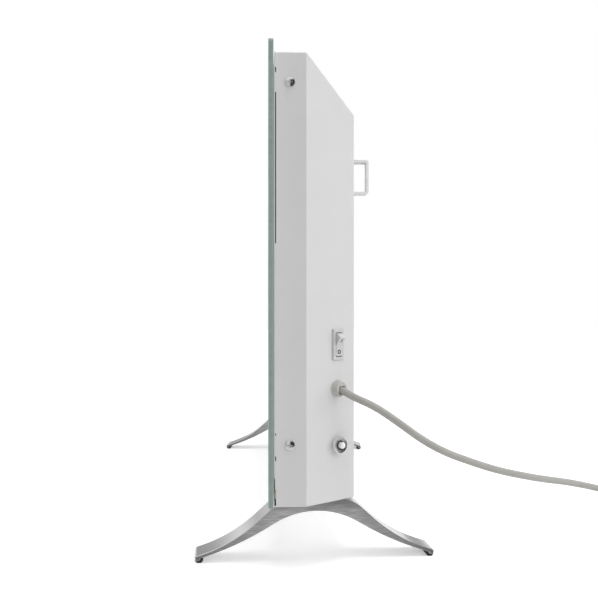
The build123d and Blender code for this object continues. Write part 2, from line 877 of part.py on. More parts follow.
with BuildPart() as cord_grip:
    with BuildSketch(wall_plane(grip_height)):
        Circle(grip_base_radius)
    with BuildSketch(wall_plane(grip_height, grip_head_height)):
        Circle(grip_face_radius)
    loft()
    fillet(
        cord_grip.faces().sort_by(Axis(grip_face.origin, wall_out))[-1].edges(),
        grip_round,
    )
    with BuildSketch(wall_plane(grip_height)):
        with Locations((0, -grip_flat_drop)):
            Rectangle(2 * grip_base_radius, grip_base_radius, align=(Align.CENTER, Align.MAX))
    extrude(amount=grip_head_height, mode=Mode.SUBTRACT)
    with BuildSketch(wall_plane(grip_height)):
        Circle(grip_hole_radius - grip_neck_gap)
    extrude(amount=-grip_neck_length)
    with BuildSketch(wall_plane(grip_height, -cover_sheet - fit_gap)):
        Circle(grip_barb_radius)
    extrude(amount=-grip_barb_length)
    with BuildSketch(mouth_plane):
        Rectangle(mouth_width, mouth_height)
    extrude(amount=grip_head_height, mode=Mode.SUBTRACT)
keep(cord_grip.part, "cord_grip")

# Overload cut-out: body inside, threaded neck, hex nut, dished bezel and domed button
cutout_width = 22.0
cutout_height = 34.0
cutout_depth = 20.0
neck_radius = 4.6
neck_length = 4.4
neck_bore_radius = 3.28
neck_bore_depth = 16.0
nut_across_flats = 15.0
nut_height = 3.4
nut_chamfer = 0.7
thread_gap = 0.1
bezel_ring_radius = 8.4
bezel_ring_height = 1.9
bezel_rim = 0.7
bezel_dish_depth = 1.3
button_radius = 3.2
button_proud = 8.8
button_tail = 6.0
button_dome = 2.2
cutout_tab_gap = 14.0

with BuildPart() as overload_cutout:
    with BuildSketch(wall_plane(reset_height, -cover_sheet - fit_gap)):
        Rectangle(cutout_width, cutout_height)
    extrude(amount=-cutout_depth)
    with BuildSketch(wall_plane(reset_height, -cover_sheet - fit_gap)):
        Circle(neck_radius)
    extrude(amount=neck_length + cover_sheet + fit_gap)
    with BuildSketch(wall_plane(reset_height, neck_length)):
        Circle(neck_bore_radius)
    extrude(amount=-neck_bore_depth, mode=Mode.SUBTRACT)
    with BuildSketch(wall_plane(reset_height, -cover_sheet - fit_gap - cutout_depth)):
        with GridLocations(0, cutout_tab_gap, 1, 2):
            Rectangle(cutout_tab_width, cutout_flange_sheet)
    extrude(amount=-cutout_tab_length)
keep(overload_cutout.part, "overload_cutout")

with BuildPart() as reset_nut:
    with BuildSketch(wall_plane(reset_height)):
        RegularPolygon(nut_across_flats / 2, 6, major_radius=False)
        Circle(neck_radius + thread_gap, mode=Mode.SUBTRACT)
    extrude(amount=nut_height)
keep(reset_nut.part, "reset_nut")

# Half section of the bezel ring, turned about the neck
with BuildPart() as reset_bezel:
    ring_base = wall_plane(reset_height, nut_height).origin
    with BuildSketch(Plane(origin=ring_base, x_dir=wall_run, z_dir=(0, 0, -1))):
        with BuildLine():
            Polyline(
                (neck_radius + thread_gap, 0),
                (bezel_ring_radius, 0),
                (bezel_ring_radius, bezel_ring_height),
                (bezel_ring_radius - bezel_rim, bezel_ring_height),
                (neck_radius + thread_gap, bezel_ring_height - bezel_dish_depth),
                close=True,
            )
        make_face()
    revolve(axis=Axis(ring_base, wall_out))
keep(reset_bezel.part, "reset_bezel")

with BuildPart() as reset_button:
    with BuildSketch(wall_plane(reset_height, -button_tail)):
        Circle(button_radius)
    extrude(amount=button_tail + button_proud)
    fillet(
        reset_button.faces().sort_by(Axis(grip_face.origin, wall_out))[-1].edges(),
        button_dome,
    )
keep(reset_button.part, "reset_button")

# Wall straps on the rear face, hat-shaped, each with a screw hole in its outer leg
strap_sheet = 2.5
strap_width = 16.0
strap_standoff = 25.0
strap_height = 37.3
strap_flange = 15.0
strap_bend = 3.0
wall_hole_radius = 3.0
strap_rear = casing_rear + strap_standoff
strap_top = bracket_height + strap_height / 2
strap_low = bracket_height - strap_height / 2

for side, hand in ((1, "right"), (-1, "left")):
    strap_x = side * bracket_spacing / 2
    with BuildPart() as wall_bracket:
        with BuildSketch(Plane.YZ.offset(strap_x - strap_width / 2)):
            with BuildLine():
                Polyline(
                    (casing_rear, strap_top + strap_flange),
                    (casing_rear + strap_sheet, strap_top + strap_flange),
                    (casing_rear + strap_sheet, strap_top),
                    (strap_rear, strap_top),
                    (strap_rear, strap_low),
                    (casing_rear + strap_sheet, strap_low),
                    (casing_rear + strap_sheet, strap_low - strap_flange),
                    (casing_rear, strap_low - strap_flange),
                    (casing_rear, strap_low + strap_sheet),
                    (strap_rear - strap_sheet, strap_low + strap_sheet),
                    (strap_rear - strap_sheet, strap_top - strap_sheet),
                    (casing_rear, strap_top - strap_sheet),
                    close=True,
                )
            make_face()
        extrude(amount=strap_width)
        along = wall_bracket.edges().filter_by(Axis.X)
        fillet(along.group_by(Axis.Y)[-1], strap_bend)
        fillet(along.filter_by(lambda e: abs(e.center().Y - strap_rear + strap_sheet) < fit_gap), strap_bend - strap_sheet)
        with BuildSketch(rear_plane(strap_x, strap_rear, bracket_height)):
            Circle(wall_hole_radius)
        extrude(amount=-strap_sheet, mode=Mode.SUBTRACT)
        with BuildSketch(rear_plane(strap_x, casing_rear + strap_sheet, bracket_height)):
            with GridLocations(0, 2 * bracket_flange_reach, 1, 2):
                Circle(screw_hole_radius)
        extrude(amount=-strap_sheet, mode=Mode.SUBTRACT)
    keep(wall_bracket.part, f"wall_bracket_{hand}")

with BuildPart() as bracket_screws:
    for side in (1, -1):
        for end in (1, -1):
            seat = rear_plane(
                side * bracket_spacing / 2,
                casing_rear + strap_sheet,
                bracket_height + end * bracket_flange_reach,
            )
            with Locations(seat):
                add(pan_screw)
keep(bracket_screws.part, "bracket_screws")

# Feet: one arched section, thick at the crown and thin at the toes, with a bead at each toe
arch_height = 48.2
arch_crown_radius = 80.0
arch_slope = 30.0
arch_straight = 11.5
shoulder_flat = 20.0
shoulder_radius = 36.7
shoulder_slope = 42.0
shoulder_straight = 17.5
toe_bead_radius = 2.6
toe_bead_height = 4.7
toe_pad_radius = 4.0
toe_pad_height = 3.7
toe_pad_shift = 1.4
toe_pad_inset = 1.5
toe_pad_lap = 0.2
foot_screw_head_radius = 4.6
foot_screw_head_depth = 4.0
foot_screw_shank_radius = 2.4
foot_screw_gap = 0.2
foot_screw_tip = 2.0
nut_plate_length = 36.0
nut_plate_width = 18.0
nut_plate_sheet = 2.5

toe_centre = foot_depth / 2 - toe_bead_radius
crown_end = arch_crown_radius * sin(radians(arch_slope))
crown_end_z = arch_height - arch_crown_radius * (1 - cos(radians(arch_slope)))
arch_run_end = crown_end + arch_straight * cos(radians(arch_slope))
arch_run_end_z = crown_end_z - arch_straight * sin(radians(arch_slope))
shoulder_end = shoulder_flat + shoulder_radius * sin(radians(shoulder_slope))
shoulder_end_z = foot_height - shoulder_radius * (1 - cos(radians(shoulder_slope)))
shoulder_run_end = shoulder_end + shoulder_straight * cos(radians(shoulder_slope))
shoulder_run_end_z = shoulder_end_z - shoulder_straight * sin(radians(shoulder_slope))


def foot_section():
    """Closed outline of a foot in its own plane, y across and z up."""
    with BuildLine() as half:
        Line((0, arch_height), (0, foot_height))
        Line((0, foot_height), (shoulder_flat, foot_height))
        TangentArc((shoulder_flat, foot_height), (shoulder_end, shoulder_end_z), tangent=(1, 0))
        Line((shoulder_end, shoulder_end_z), (shoulder_run_end, shoulder_run_end_z))
        TangentArc(
            (shoulder_run_end, shoulder_run_end_z),
            (toe_centre, toe_bead_height + toe_bead_radius),
            tangent=(cos(radians(shoulder_slope)), -sin(radians(shoulder_slope))),
        )
        Line((toe_centre, toe_bead_height + toe_bead_radius), (toe_centre - toe_bead_radius, toe_bead_height))
        TangentArc((0, arch_height), (crown_end, crown_end_z), tangent=(1, 0))
        Line((crown_end, crown_end_z), (arch_run_end, arch_run_end_z))
        TangentArc(
            (arch_run_end, arch_run_end_z),
            (toe_centre - toe_bead_radius, toe_bead_height),
            tangent=(cos(radians(arch_slope)), -sin(radians(arch_slope))),
        )
    with BuildSketch() as section:
        add(half.line)
        make_face()
        mirror(about=Plane.YZ)
        with Locations((toe_centre, toe_bead_height), (-toe_centre, toe_bead_height)):
            Circle(toe_bead_radius)
    return section.sketch


def pad_section():
    """Rubber strips under both toe beads, flat on the floor and thicker on their inner side."""
    pad_centre = toe_centre - toe_pad_shift
    with BuildSketch() as section:
        with Locations((pad_centre, toe_pad_height), (-pad_centre, toe_pad_height)):
            Circle(toe_pad_radius)
        with Locations((0, 0)):
            Rectangle(2 * foot_depth, foot_depth, align=(Align.CENTER, Align.MAX), mode=Mode.SUBTRACT)
        with Locations((0, toe_bead_height - toe_pad_lap)):
            Rectangle(2 * foot_depth, foot_depth, align=(Align.CENTER, Align.MIN), mode=Mode.SUBTRACT)
        add(foot_outline, mode=Mode.SUBTRACT)
    return section.sketch


foot_outline = foot_section()
pad_outline = pad_section()

with BuildPart() as foot:
    with BuildSketch(Plane.YZ.offset(-foot_width / 2)):
        add(foot_outline)
    extrude(amount=foot_width)
    with BuildSketch(Plane.XY):
        with GridLocations(0, foot_screw_spacing, 1, 2):
            Circle(foot_screw_hole_radius)
    extrude(amount=foot_height + overrun, mode=Mode.SUBTRACT)
    with BuildSketch(Plane.XY):
        with GridLocations(0, foot_screw_spacing, 1, 2):
            Circle(foot_screw_head_radius + foot_screw_gap)
    extrude(amount=arch_height + foot_screw_head_depth, mode=Mode.SUBTRACT)

for side, hand in ((1, "right"), (-1, "left")):
    keep(foot_place(side) * foot.part, f"foot_{hand}")

with BuildPart() as toe_pad:
    with BuildSketch(Plane.YZ.offset(-foot_width / 2 + toe_pad_inset)):
        add(pad_outline)
    extrude(amount=foot_width - 2 * toe_pad_inset)

with BuildPart() as foot_pads:
    for side in (1, -1):
        with Locations(foot_place(side)):
            add(toe_pad.part)
keep(foot_pads.part, "foot_pads")

with BuildPart() as foot_screws:
    with BuildSketch(Plane.XY.offset(arch_height)):
        with Locations(foot_place(1), foot_place(-1)):
            with GridLocations(0, foot_screw_spacing, 1, 2):
                Circle(foot_screw_head_radius)
    extrude(amount=foot_screw_head_depth)
    with BuildSketch(Plane.XY.offset(arch_height + foot_screw_head_depth)):
        with Locations(foot_place(1), foot_place(-1)):
            with GridLocations(0, foot_screw_spacing, 1, 2):
                Circle(foot_screw_shank_radius)
    extrude(
        amount=foot_height - arch_height - foot_screw_head_depth + cover_sheet + nut_plate_sheet + foot_screw_tip
    )
keep(foot_screws.part, "foot_screws")

with BuildPart() as foot_nut_plates:
    with BuildSketch(Plane.XY.offset(floor_top)):
        with Locations(foot_place(1), foot_place(-1)):
            Rectangle(nut_plate_width, nut_plate_length)
            with GridLocations(0, foot_screw_spacing, 1, 2):
                Circle(foot_screw_shank_radius + foot_screw_gap, mode=Mode.SUBTRACT)
    extrude(amount=nut_plate_sheet)
keep(foot_nut_plates.part, "foot_nut_plates")

# Mains lead: straight out of the grip, down behind the heater, along the floor to its coil
cord_radius = cord_diameter / 2
cord_exit_run = 20.0
floor_gap = 0.1
cord_floor = cord_radius + floor_gap
coil_x = 196.0
coil_y = 520.0
coil_turns = 4.25
coil_outer_radius = 47.0
coil_spare = 0.7
coil_pitch = cord_diameter + coil_spare
coil_layer = cord_diameter + coil_spare
tie_wall = 0.8
tie_gap = 0.3
tie_side_gap = 1.0
tie_length = 12.0
coil_floor = cord_radius + tie_wall + tie_gap
coil_lead = cord_diameter
coil_approach = 22.0

coil_entry = Vector(coil_x - coil_outer_radius, coil_y - coil_lead, coil_floor)
route = [
    cord_start,
    cord_start + cord_out * cord_exit_run,
    (394.5, 54.5, 156.0),
    (397.0, 77.0, 140.5),
    (392.5, 100.0, 123.5),
    (384.0, 124.0, 110.0),
    (372.0, 150.0, 99.5),
    (355.0, 178.0, 88.5),
    (334.0, 208.0, 79.0),
    (307.0, 242.0, 69.0),
    (272.0, 282.0, 58.5),
    (234.0, 328.0, 44.0),
    (200.0, 372.0, 28.0),
    (172.0, 412.0, 12.5),
    (154.0, 448.0, 4.0),
    coil_entry - Vector(0, coil_approach, 0),
    coil_entry,
]


def rounded_path(points):
    """Corner radii as large as the runs allow, and the points as vectors."""
    places = [Vector(*p) if isinstance(p, tuple) else p for p in points]
    radii = []
    for before, here, after in zip(places, places[1:], places[2:]):
        run_in = here - before
        run_out = after - here
        turn = radians(run_in.get_angle(run_out))
        radii.append(0.45 * min(run_in.length, run_out.length) / tan(turn / 2))
    return places, radii


def cord_tube(name, points):
    """Round tube along straight runs and tangent arcs, checked against section times length."""
    places, radii = rounded_path(points)
    print(name, "arc radii", [round(radius, 1) for radius in radii])
    with BuildPart() as tube:
        with BuildLine() as path:
            FilletPolyline(*places, radius=radii)
        with BuildSketch(Plane(origin=path.line @ 0, z_dir=path.line % 0)):
            Circle(cord_radius)
        sweep()
    length = sum(edge.length for edge in path.edges())
    plain = pi * cord_radius**2 * length
    print(name, "length", round(length, 1), "volume ratio", round(tube.part.volume / plain, 4))
    return tube.part


cord_run = cord_tube("cord_run", route)
keep(cord_run, "cord_run")


def coil_place(turn):
    """Centreline of the coil at a turn count: spiral in, climb a layer, spiral out again."""
    half = coil_turns / 2
    travelled = min(turn, coil_turns - turn)
    radius = coil_outer_radius - coil_pitch * travelled
    climb = min(max((turn - half) * 2 + 0.5, 0.0), 1.0)
    height = coil_floor + coil_layer * climb * climb * (3 - 2 * climb)
    angle = pi - 2 * pi * turn
    return Vector(coil_x + radius * cos(angle), coil_y + radius * sin(angle), height)


def coil_heading(turn):
    """Direction of the centreline at a turn count."""
    step = 0.001
    start = max(turn - step, 0.0)
    end = min(turn + step, coil_turns)
    return (coil_place(end) - coil_place(start)).normalized()


def biarc_middle(start, start_heading, end, end_heading):
    """Joint of the two arcs that leave and arrive along the given headings."""
    chord = end - start
    both = start_heading + end_heading
    a = 2 * (1 - start_heading.dot(end_heading))
    b = chord.dot(both)
    c = chord.dot(chord)
    reach = (-b + (b * b + a * c) ** 0.5) / a
    first = start + start_heading * reach
    last = end - end_heading * reach
    return (first + last) / 2


quarter = 0.25
quarter_turns = round(coil_turns / quarter)
knots = [coil_place(quarter * n) for n in range(quarter_turns + 1)]
headings = [coil_heading(quarter * n) for n in range(quarter_turns + 1)]
headings[0] = Vector(0, 1, 0)
headings[-1] = Vector(1, 0, 0)
coil_exit = knots[-1] + headings[-1] * coil_lead

with BuildPart() as cord_coil:
    with BuildLine() as winding:
        Line(coil_entry, knots[0])
        for n in range(quarter_turns):
            middle = biarc_middle(knots[n], headings[n], knots[n + 1], headings[n + 1])
            first_arc = TangentArc(knots[n], middle, tangent=headings[n])
            TangentArc(middle, knots[n + 1], tangent=first_arc % 1)
        Line(knots[-1], coil_exit)
    with BuildSketch(Plane(origin=coil_entry, z_dir=(0, 1, 0))):
        Circle(cord_radius)
    sweep()
coil_length = sum(edge.length for edge in winding.edges())
coil_plain = pi * cord_radius**2 * coil_length
print("cord_coil length", round(coil_length, 1), "volume ratio", round(cord_coil.part.volume / coil_plain, 4))

samples_per_turn = 72
sampled = [coil_place(n / samples_per_turn) for n in range(int(coil_turns * samples_per_turn) + 1)]
apart = samples_per_turn // 2
least = min(
    (sampled[a] - sampled[b]).length
    for a in range(len(sampled))
    for b in range(a + apart, len(sampled))
)
print("cord_coil least gap to itself", round(least - cord_diameter, 2))
keep(cord_coil.part, "cord_coil")

# Tie round the coil, half a turn from where the lead comes in
tie_turn = 0.5
tie_strands = [coil_place(tie_turn + n) for n in range(int(coil_turns))]
tie_low_radius = min(hypot(p.X - coil_x, p.Y - coil_y) for p in tie_strands) - cord_radius - tie_side_gap
tie_high_radius = max(hypot(p.X - coil_x, p.Y - coil_y) for p in tie_strands) + cord_radius + tie_side_gap
tie_height = coil_layer + cord_diameter + 2 * tie_gap
tie_middle = Vector(
    coil_x + (tie_low_radius + tie_high_radius) / 2,
    coil_y,
    coil_floor - cord_radius - tie_gap + tie_height / 2,
)
tie_span = tie_high_radius - tie_low_radius

with BuildPart() as cord_tie:
    with BuildSketch(Plane(origin=tie_middle, x_dir=(1, 0, 0), z_dir=(0, 1, 0))):
        RectangleRounded(tie_span + 2 * tie_wall, tie_height + 2 * tie_wall, cord_radius)
        RectangleRounded(tie_span, tie_height, cord_radius - tie_wall, mode=Mode.SUBTRACT)
    extrude(amount=tie_length / 2, both=True)
keep(cord_tie.part, "cord_tie")

# Tail from the coil to the plug
plug_radius = 18.0
plug_length = 32.0
plug_neck_radius = 6.0
plug_neck_length = 26.0
plug_round = 3.0
plug_flat = 14.5
pin_radius = 2.4
pin_length = 19.0
pin_spacing = 19.0
earth_clip_width = 8.0
earth_clip_sheet = 0.8
earth_clip_length = 18.0
plug_height = plug_radius + floor_gap
tail_reach = 96.0
tail_shift = 7.0
tail_start_run = 14.0
tail_bend_run = 36.0
tail_bend_sway = 1.5
tail_bend_climb = 2.2
tail_crest_back = 30.0
tail_crest_dip = 1.6
tail_end_run = 14.0
tail_end = Vector(coil_x + tail_reach, coil_y + coil_outer_radius - tail_shift, plug_height)
plug_heading = Vector(1, 0, 0)

tail = [
    coil_exit,
    coil_exit + Vector(tail_start_run, 0, 0),
    coil_exit + Vector(tail_bend_run, tail_bend_sway, tail_bend_climb),
    tail_end + Vector(-tail_crest_back, tail_bend_sway, -tail_crest_dip),
    tail_end - Vector(tail_end_run, 0, 0),
    tail_end,
]
cord_tail = cord_tube("cord_tail", tail)
keep(cord_tail, "cord_tail")

plug_back = tail_end
plug_face = plug_back + plug_heading * (plug_neck_length + plug_length)

with BuildPart() as plug_body:
    with BuildSketch(Plane(origin=plug_back, x_dir=plug_heading, z_dir=(0, -1, 0))):
        with BuildLine():
            Polyline(
                (0, 0),
                (0, cord_radius + tie_wall),
                (plug_neck_length, plug_neck_radius),
                (plug_neck_length + plug_round, plug_radius - plug_round),
                (plug_neck_length + 2 * plug_round, plug_radius),
                (plug_neck_length + plug_length, plug_radius),
                (plug_neck_length + plug_length, 0),
                close=True,
            )
        make_face()
    revolve(axis=Axis(plug_back, plug_heading))
    with BuildSketch(Plane(origin=plug_back, x_dir=(0, 1, 0), z_dir=plug_heading)):
        with GridLocations(2 * plug_flat + plug_radius, 0, 2, 1):
            Rectangle(plug_radius, 2 * plug_radius)
    extrude(amount=plug_neck_length + plug_length, mode=Mode.SUBTRACT)
keep(plug_body.part, "plug_body")

with BuildPart() as plug_pins:
    with BuildSketch(Plane(origin=plug_face, x_dir=(0, 1, 0), z_dir=plug_heading)):
        with GridLocations(0, pin_spacing, 1, 2):
            Circle(pin_radius)
    extrude(amount=pin_length)
    fillet(plug_pins.faces().group_by(Axis.X)[-1].edges(), pin_radius / 2)
keep(plug_pins.part, "plug_pins")

with BuildPart() as plug_earth_clips:
    for side in (1, -1):
        with BuildSketch(
            Plane(
                origin=plug_face + Vector(-earth_clip_length, side * plug_flat, 0),
                x_dir=(0, side, 0),
                z_dir=plug_heading,
            )
        ):
            Rectangle(earth_clip_sheet, earth_clip_width, align=(Align.MIN, Align.CENTER))
        extrude(amount=earth_clip_length)
keep(plug_earth_clips.part, "plug_earth_clips")

# Inner end of the lead: sheath from the grip, then three cores into the terminal block
grip_inner = wall_plane(grip_height, -cover_sheet - fit_gap - grip_barb_length).origin
sheath_turn = 15.0
sheath_end = Vector(block_x + block_length / 2 + block_height, plate_back + 2 * block_depth, block_z)
core_radius = 1.0
core_pitch = 2.4
core_lap = 2.0
core_reach = 5.0
core_bend = 13.0
wire_radius = 1.2


def wire(points, radius):
    """Round wire along straight runs with mitred corners."""
    with BuildPart() as tube:
        with BuildLine() as path:
            Polyline(*[Vector(*p) if isinstance(p, tuple) else p for p in points])
        with BuildSketch(Plane(origin=path.line @ 0, z_dir=path.line % 0)):
            Circle(radius)
        sweep(transition=Transition.RIGHT)
    return tube.part


sheath = wire(
    [grip_inner, grip_inner - wall_out * sheath_turn, sheath_end],
    cord_radius,
)
cores = [
    wire(
        [
            sheath_end + Vector(core_lap, 0, (pole - 1) * core_pitch),
            sheath_end + Vector(-core_bend / 2, 0, (pole - 1) * core_pitch),
            (block_x - (pole - 1) * pole_pitch, plate_back + block_depth + core_bend, block_z),
            (block_x - (pole - 1) * pole_pitch, plate_back + block_depth - core_reach, block_z),
        ],
        core_radius,
    )
    for pole in range(block_poles)
]

with BuildPart() as cord_inner_end:
    add(sheath)
    add(cores)
keep(cord_inner_end.part, "cord_inner_end")

# Wires from the block to the board, and from the board to the element and the cut-out
wire_y = plate_back + block_depth / 2
board_low = board_z - board_height / 2
wire_rise = 14.0
wire_pitch = 6.0
left_pin = element_shift - element_length / 2 - element_pin_length
right_pin = element_shift + element_length / 2 + element_pin_length
wire_run_z = casing_bottom + wire_rise + wire_pitch
cutout_tab_x = element_shift + cutout_offset + cutout_tab_spacing / 2
cutout_tab_y = shield_back + cutout_flange_sheet + cutout_body_length + cutout_tab_length
board_left = board_x - board_width / 2 + wire_rise

wires = [
    wire(
        [
            (block_x + side * pole_pitch, wire_y, block_z + block_height / 2),
            (block_x + side * pole_pitch, wire_y, block_z + block_height / 2 + wire_rise),
            (block_x + side * wire_pitch, board_face + wire_rise, board_low - wire_pitch),
            (block_x + side * wire_pitch, board_face + wire_rise, board_low + wire_rise),
            (block_x + side * wire_pitch, board_face, board_low + wire_rise),
        ],
        wire_radius,
    )
    for side in (1, -1)
]
wires.append(
    wire(
        [
            (right_pin, element_y, element_z),
            (right_pin + wire_rise, element_y, element_z),
            (board_left, board_face + 2 * wire_rise, element_z + 2 * wire_rise),
            (board_left, board_face + wire_rise, board_z - 2 * wire_pitch),
            (board_left, board_face, board_z - 2 * wire_pitch),
        ],
        wire_radius,
    )
)
wires.append(
    wire(
        [
            (left_pin, element_y, element_z),
            (left_pin - wire_rise, element_y, element_z),
            (left_pin - wire_rise, element_y, wire_run_z + 2 * wire_rise),
            (left_pin + 2 * wire_rise, element_y, wire_run_z),
            (right_pin - 2 * wire_rise, element_y, wire_run_z),
            (board_left - wire_pitch, board_face + 2 * wire_rise, element_z - 2 * wire_rise),
            (board_left - wire_pitch, board_face + wire_rise, board_z),
            (board_left - wire_pitch, board_face, board_z),
        ],
        wire_radius,
    )
)
wires.append(
    wire(
        [
            (cutout_tab_x, cutout_tab_y, element_z + cutout_rise),
            (cutout_tab_x, cutout_tab_y + wire_pitch, element_z + cutout_rise),
            (cutout_tab_x + 2 * wire_rise, cutout_tab_y + wire_rise, element_z + cutout_rise + wire_rise),
            (board_left - 2 * wire_rise, board_face + 2 * wire_rise, board_z + 2 * wire_pitch),
            (board_left, board_face + wire_rise, board_z + 2 * wire_pitch),
            (board_left, board_face, board_z + 2 * wire_pitch),
        ],
        wire_radius,
    )
)

with BuildPart() as inner_wires:
    add(wires)
keep(inner_wires.part, "inner_wires")
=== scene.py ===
import bpy
import bmesh
import json
from math import atan2, cos, hypot, pi, radians, sin
from mathutils import Matrix, Vector


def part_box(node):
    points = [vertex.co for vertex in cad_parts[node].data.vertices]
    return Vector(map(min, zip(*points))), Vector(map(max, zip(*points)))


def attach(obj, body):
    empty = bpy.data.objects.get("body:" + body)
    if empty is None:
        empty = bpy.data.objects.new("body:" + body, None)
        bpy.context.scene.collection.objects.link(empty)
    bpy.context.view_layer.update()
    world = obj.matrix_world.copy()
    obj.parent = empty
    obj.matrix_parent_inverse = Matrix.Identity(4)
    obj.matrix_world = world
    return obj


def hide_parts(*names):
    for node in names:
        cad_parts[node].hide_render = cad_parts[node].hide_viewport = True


# Metres, as in the frame: the glass faces -Y, the width runs along X and the floor is at z 0
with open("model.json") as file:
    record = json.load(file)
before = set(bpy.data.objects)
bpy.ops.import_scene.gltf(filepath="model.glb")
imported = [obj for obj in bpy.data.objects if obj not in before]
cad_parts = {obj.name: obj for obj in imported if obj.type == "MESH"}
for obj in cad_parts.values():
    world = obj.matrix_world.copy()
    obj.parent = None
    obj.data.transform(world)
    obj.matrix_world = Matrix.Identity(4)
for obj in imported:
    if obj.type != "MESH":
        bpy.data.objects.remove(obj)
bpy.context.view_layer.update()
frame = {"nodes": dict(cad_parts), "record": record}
nodes = frame["nodes"]
slotOf = {part["node"]: part["material_slot"] for part in frame["record"]["subparts"]}

# The right end wall slopes inwards from a knee to the rear, and carries the controls
casing = {
    "halfWidth": 0.392,
    "knee": -0.01025,
    "rear": 0.03875,
    "slopeIn": 0.041,
    "along": 0.041,  # from the knee to the middle of the controls
}
controls = {"switch": 0.2132, "grip": 0.1703, "reset": 0.1157}  # heights above the floor
slopeDepth = casing["rear"] - casing["knee"]
slopeLength = hypot(casing["slopeIn"], slopeDepth)
wallRun = Vector((-casing["slopeIn"], slopeDepth, 0)) / slopeLength
wallOut = Vector((slopeDepth, casing["slopeIn"], 0)) / slopeLength
upward = Vector((0, 0, 1))


def onWall(height, proud=0.0):
    corner = Vector((casing["halfWidth"], casing["knee"], height))
    return corner + wallRun * casing["along"] + wallOut * proud


def wallMatrix(height, proud=0.0):
    # x runs along the wall to the rear, y up, z out of the wall
    turn = Matrix((wallRun, upward, wallOut)).transposed().to_4x4()
    return Matrix.Translation(onWall(height, proud)) @ turn


def addObject(name, data):
    added = bpy.data.objects.new(name, data)
    bpy.context.scene.collection.objects.link(added)
    return added


# Steps that the materials share; a value is a number, a colour or another node's socket
noise = {
    "roughness": 0.55,
    "low": 0.3,  # most of a noise lies between low and high
    "high": 0.7,
    "grainDetail": 4,
    "patchScale": 22.0,
    "patchDetail": 3,
    "patchLow": 0.38,
    "patchHigh": 0.62,
    "threadBend": 0.6,
}


def addNode(tree, kind, **inputs):
    node = tree.nodes.new(kind)
    for name, value in inputs.items():
        node.inputs[name].default_value = value
    return node


def feed(tree, value, socket):
    if isinstance(value, bpy.types.NodeSocket):
        tree.links.new(value, socket)
    else:
        socket.default_value = value


def calculate(tree, kind, *values):
    node = tree.nodes.new("ShaderNodeMath")
    node.operation = kind
    for value, socket in zip(values, node.inputs):
        feed(tree, value, socket)
    return node.outputs[0]


def spread(tree, value, fromLow, fromHigh, toLow=0, toHigh=1):
    node = tree.nodes.new("ShaderNodeMapRange")
    node.inputs["From Min"].default_value = fromLow
    node.inputs["From Max"].default_value = fromHigh
    node.inputs["To Min"].default_value = toLow
    node.inputs["To Max"].default_value = toHigh
    tree.links.new(value, node.inputs["Value"])
    return node.outputs["Result"]


def blendValues(tree, factor, first, second):
    mix = tree.nodes.new("ShaderNodeMix")
    tree.links.new(factor, mix.inputs["Factor"])
    feed(tree, first, mix.inputs["A"])
    feed(tree, second, mix.inputs["B"])
    return mix.outputs["Result"]


def blendColors(tree, factor, first, second):
    mix = tree.nodes.new("ShaderNodeMix")
    mix.data_type = "RGBA"
    tree.links.new(factor, mix.inputs["Factor"])
    for value, socket in ((first, mix.inputs[6]), (second, mix.inputs[7])):
        feed(tree, (*value, 1) if isinstance(value, tuple) else value, socket)
    return mix.outputs[2]


def axesOf(tree, vector):
    parts = tree.nodes.new("ShaderNodeSeparateXYZ")
    tree.links.new(vector, parts.inputs[0])
    return parts.outputs


def facingAxes(tree):
    # the direction that the surface faces, before any bump
    return axesOf(tree, tree.nodes.new("ShaderNodeNewGeometry").outputs["True Normal"])


def noiseOn(tree, coords, scale, detail, stretch=(1, 1, 1)):
    mapping = addNode(tree, "ShaderNodeMapping", Scale=stretch)
    tree.links.new(coords, mapping.inputs["Vector"])
    cloud = addNode(tree, "ShaderNodeTexNoise", Scale=scale, Detail=detail, Roughness=noise["roughness"])
    tree.links.new(mapping.outputs["Vector"], cloud.inputs["Vector"])
    return cloud.outputs["Fac"]


def patchesOn(tree, coords):
    cloud = noiseOn(tree, coords, noise["patchScale"], noise["patchDetail"])
    return spread(tree, cloud, noise["patchLow"], noise["patchHigh"])


def crystalsOn(tree, coords, scale):
    # the spangle of a zinc coat
    cells = addNode(tree, "ShaderNodeTexVoronoi", Scale=scale)
    tree.links.new(coords, cells.inputs["Vector"])
    parts = tree.nodes.new("ShaderNodeSeparateColor")
    tree.links.new(cells.outputs["Color"], parts.inputs["Color"])
    return parts.outputs["Red"]


def threadsOn(tree, coords, scale):
    # two sets of bands that cross, as in a woven sleeve
    bands = []
    for direction in ("X", "Z"):
        wave = addNode(tree, "ShaderNodeTexWave", Scale=scale, Distortion=noise["threadBend"])
        wave.bands_direction = direction
        tree.links.new(coords, wave.inputs["Vector"])
        bands.append(wave.outputs["Fac"])
    return calculate(tree, "MULTIPLY", *bands)


def startMaterial(name):
    material = bpy.data.materials.new(name)
    material.use_nodes = True
    tree = material.node_tree
    shader = tree.nodes["Principled BSDF"]
    coords = tree.nodes.new("ShaderNodeTexCoord").outputs["Object"]
    return material, tree, shader, coords


def addBump(tree, shader, height, depth):
    bump = addNode(tree, "ShaderNodeBump", Strength=1.0, Distance=depth)
    tree.links.new(height, bump.inputs["Height"])
    tree.links.new(bump.outputs["Normal"], shader.inputs["Normal"])


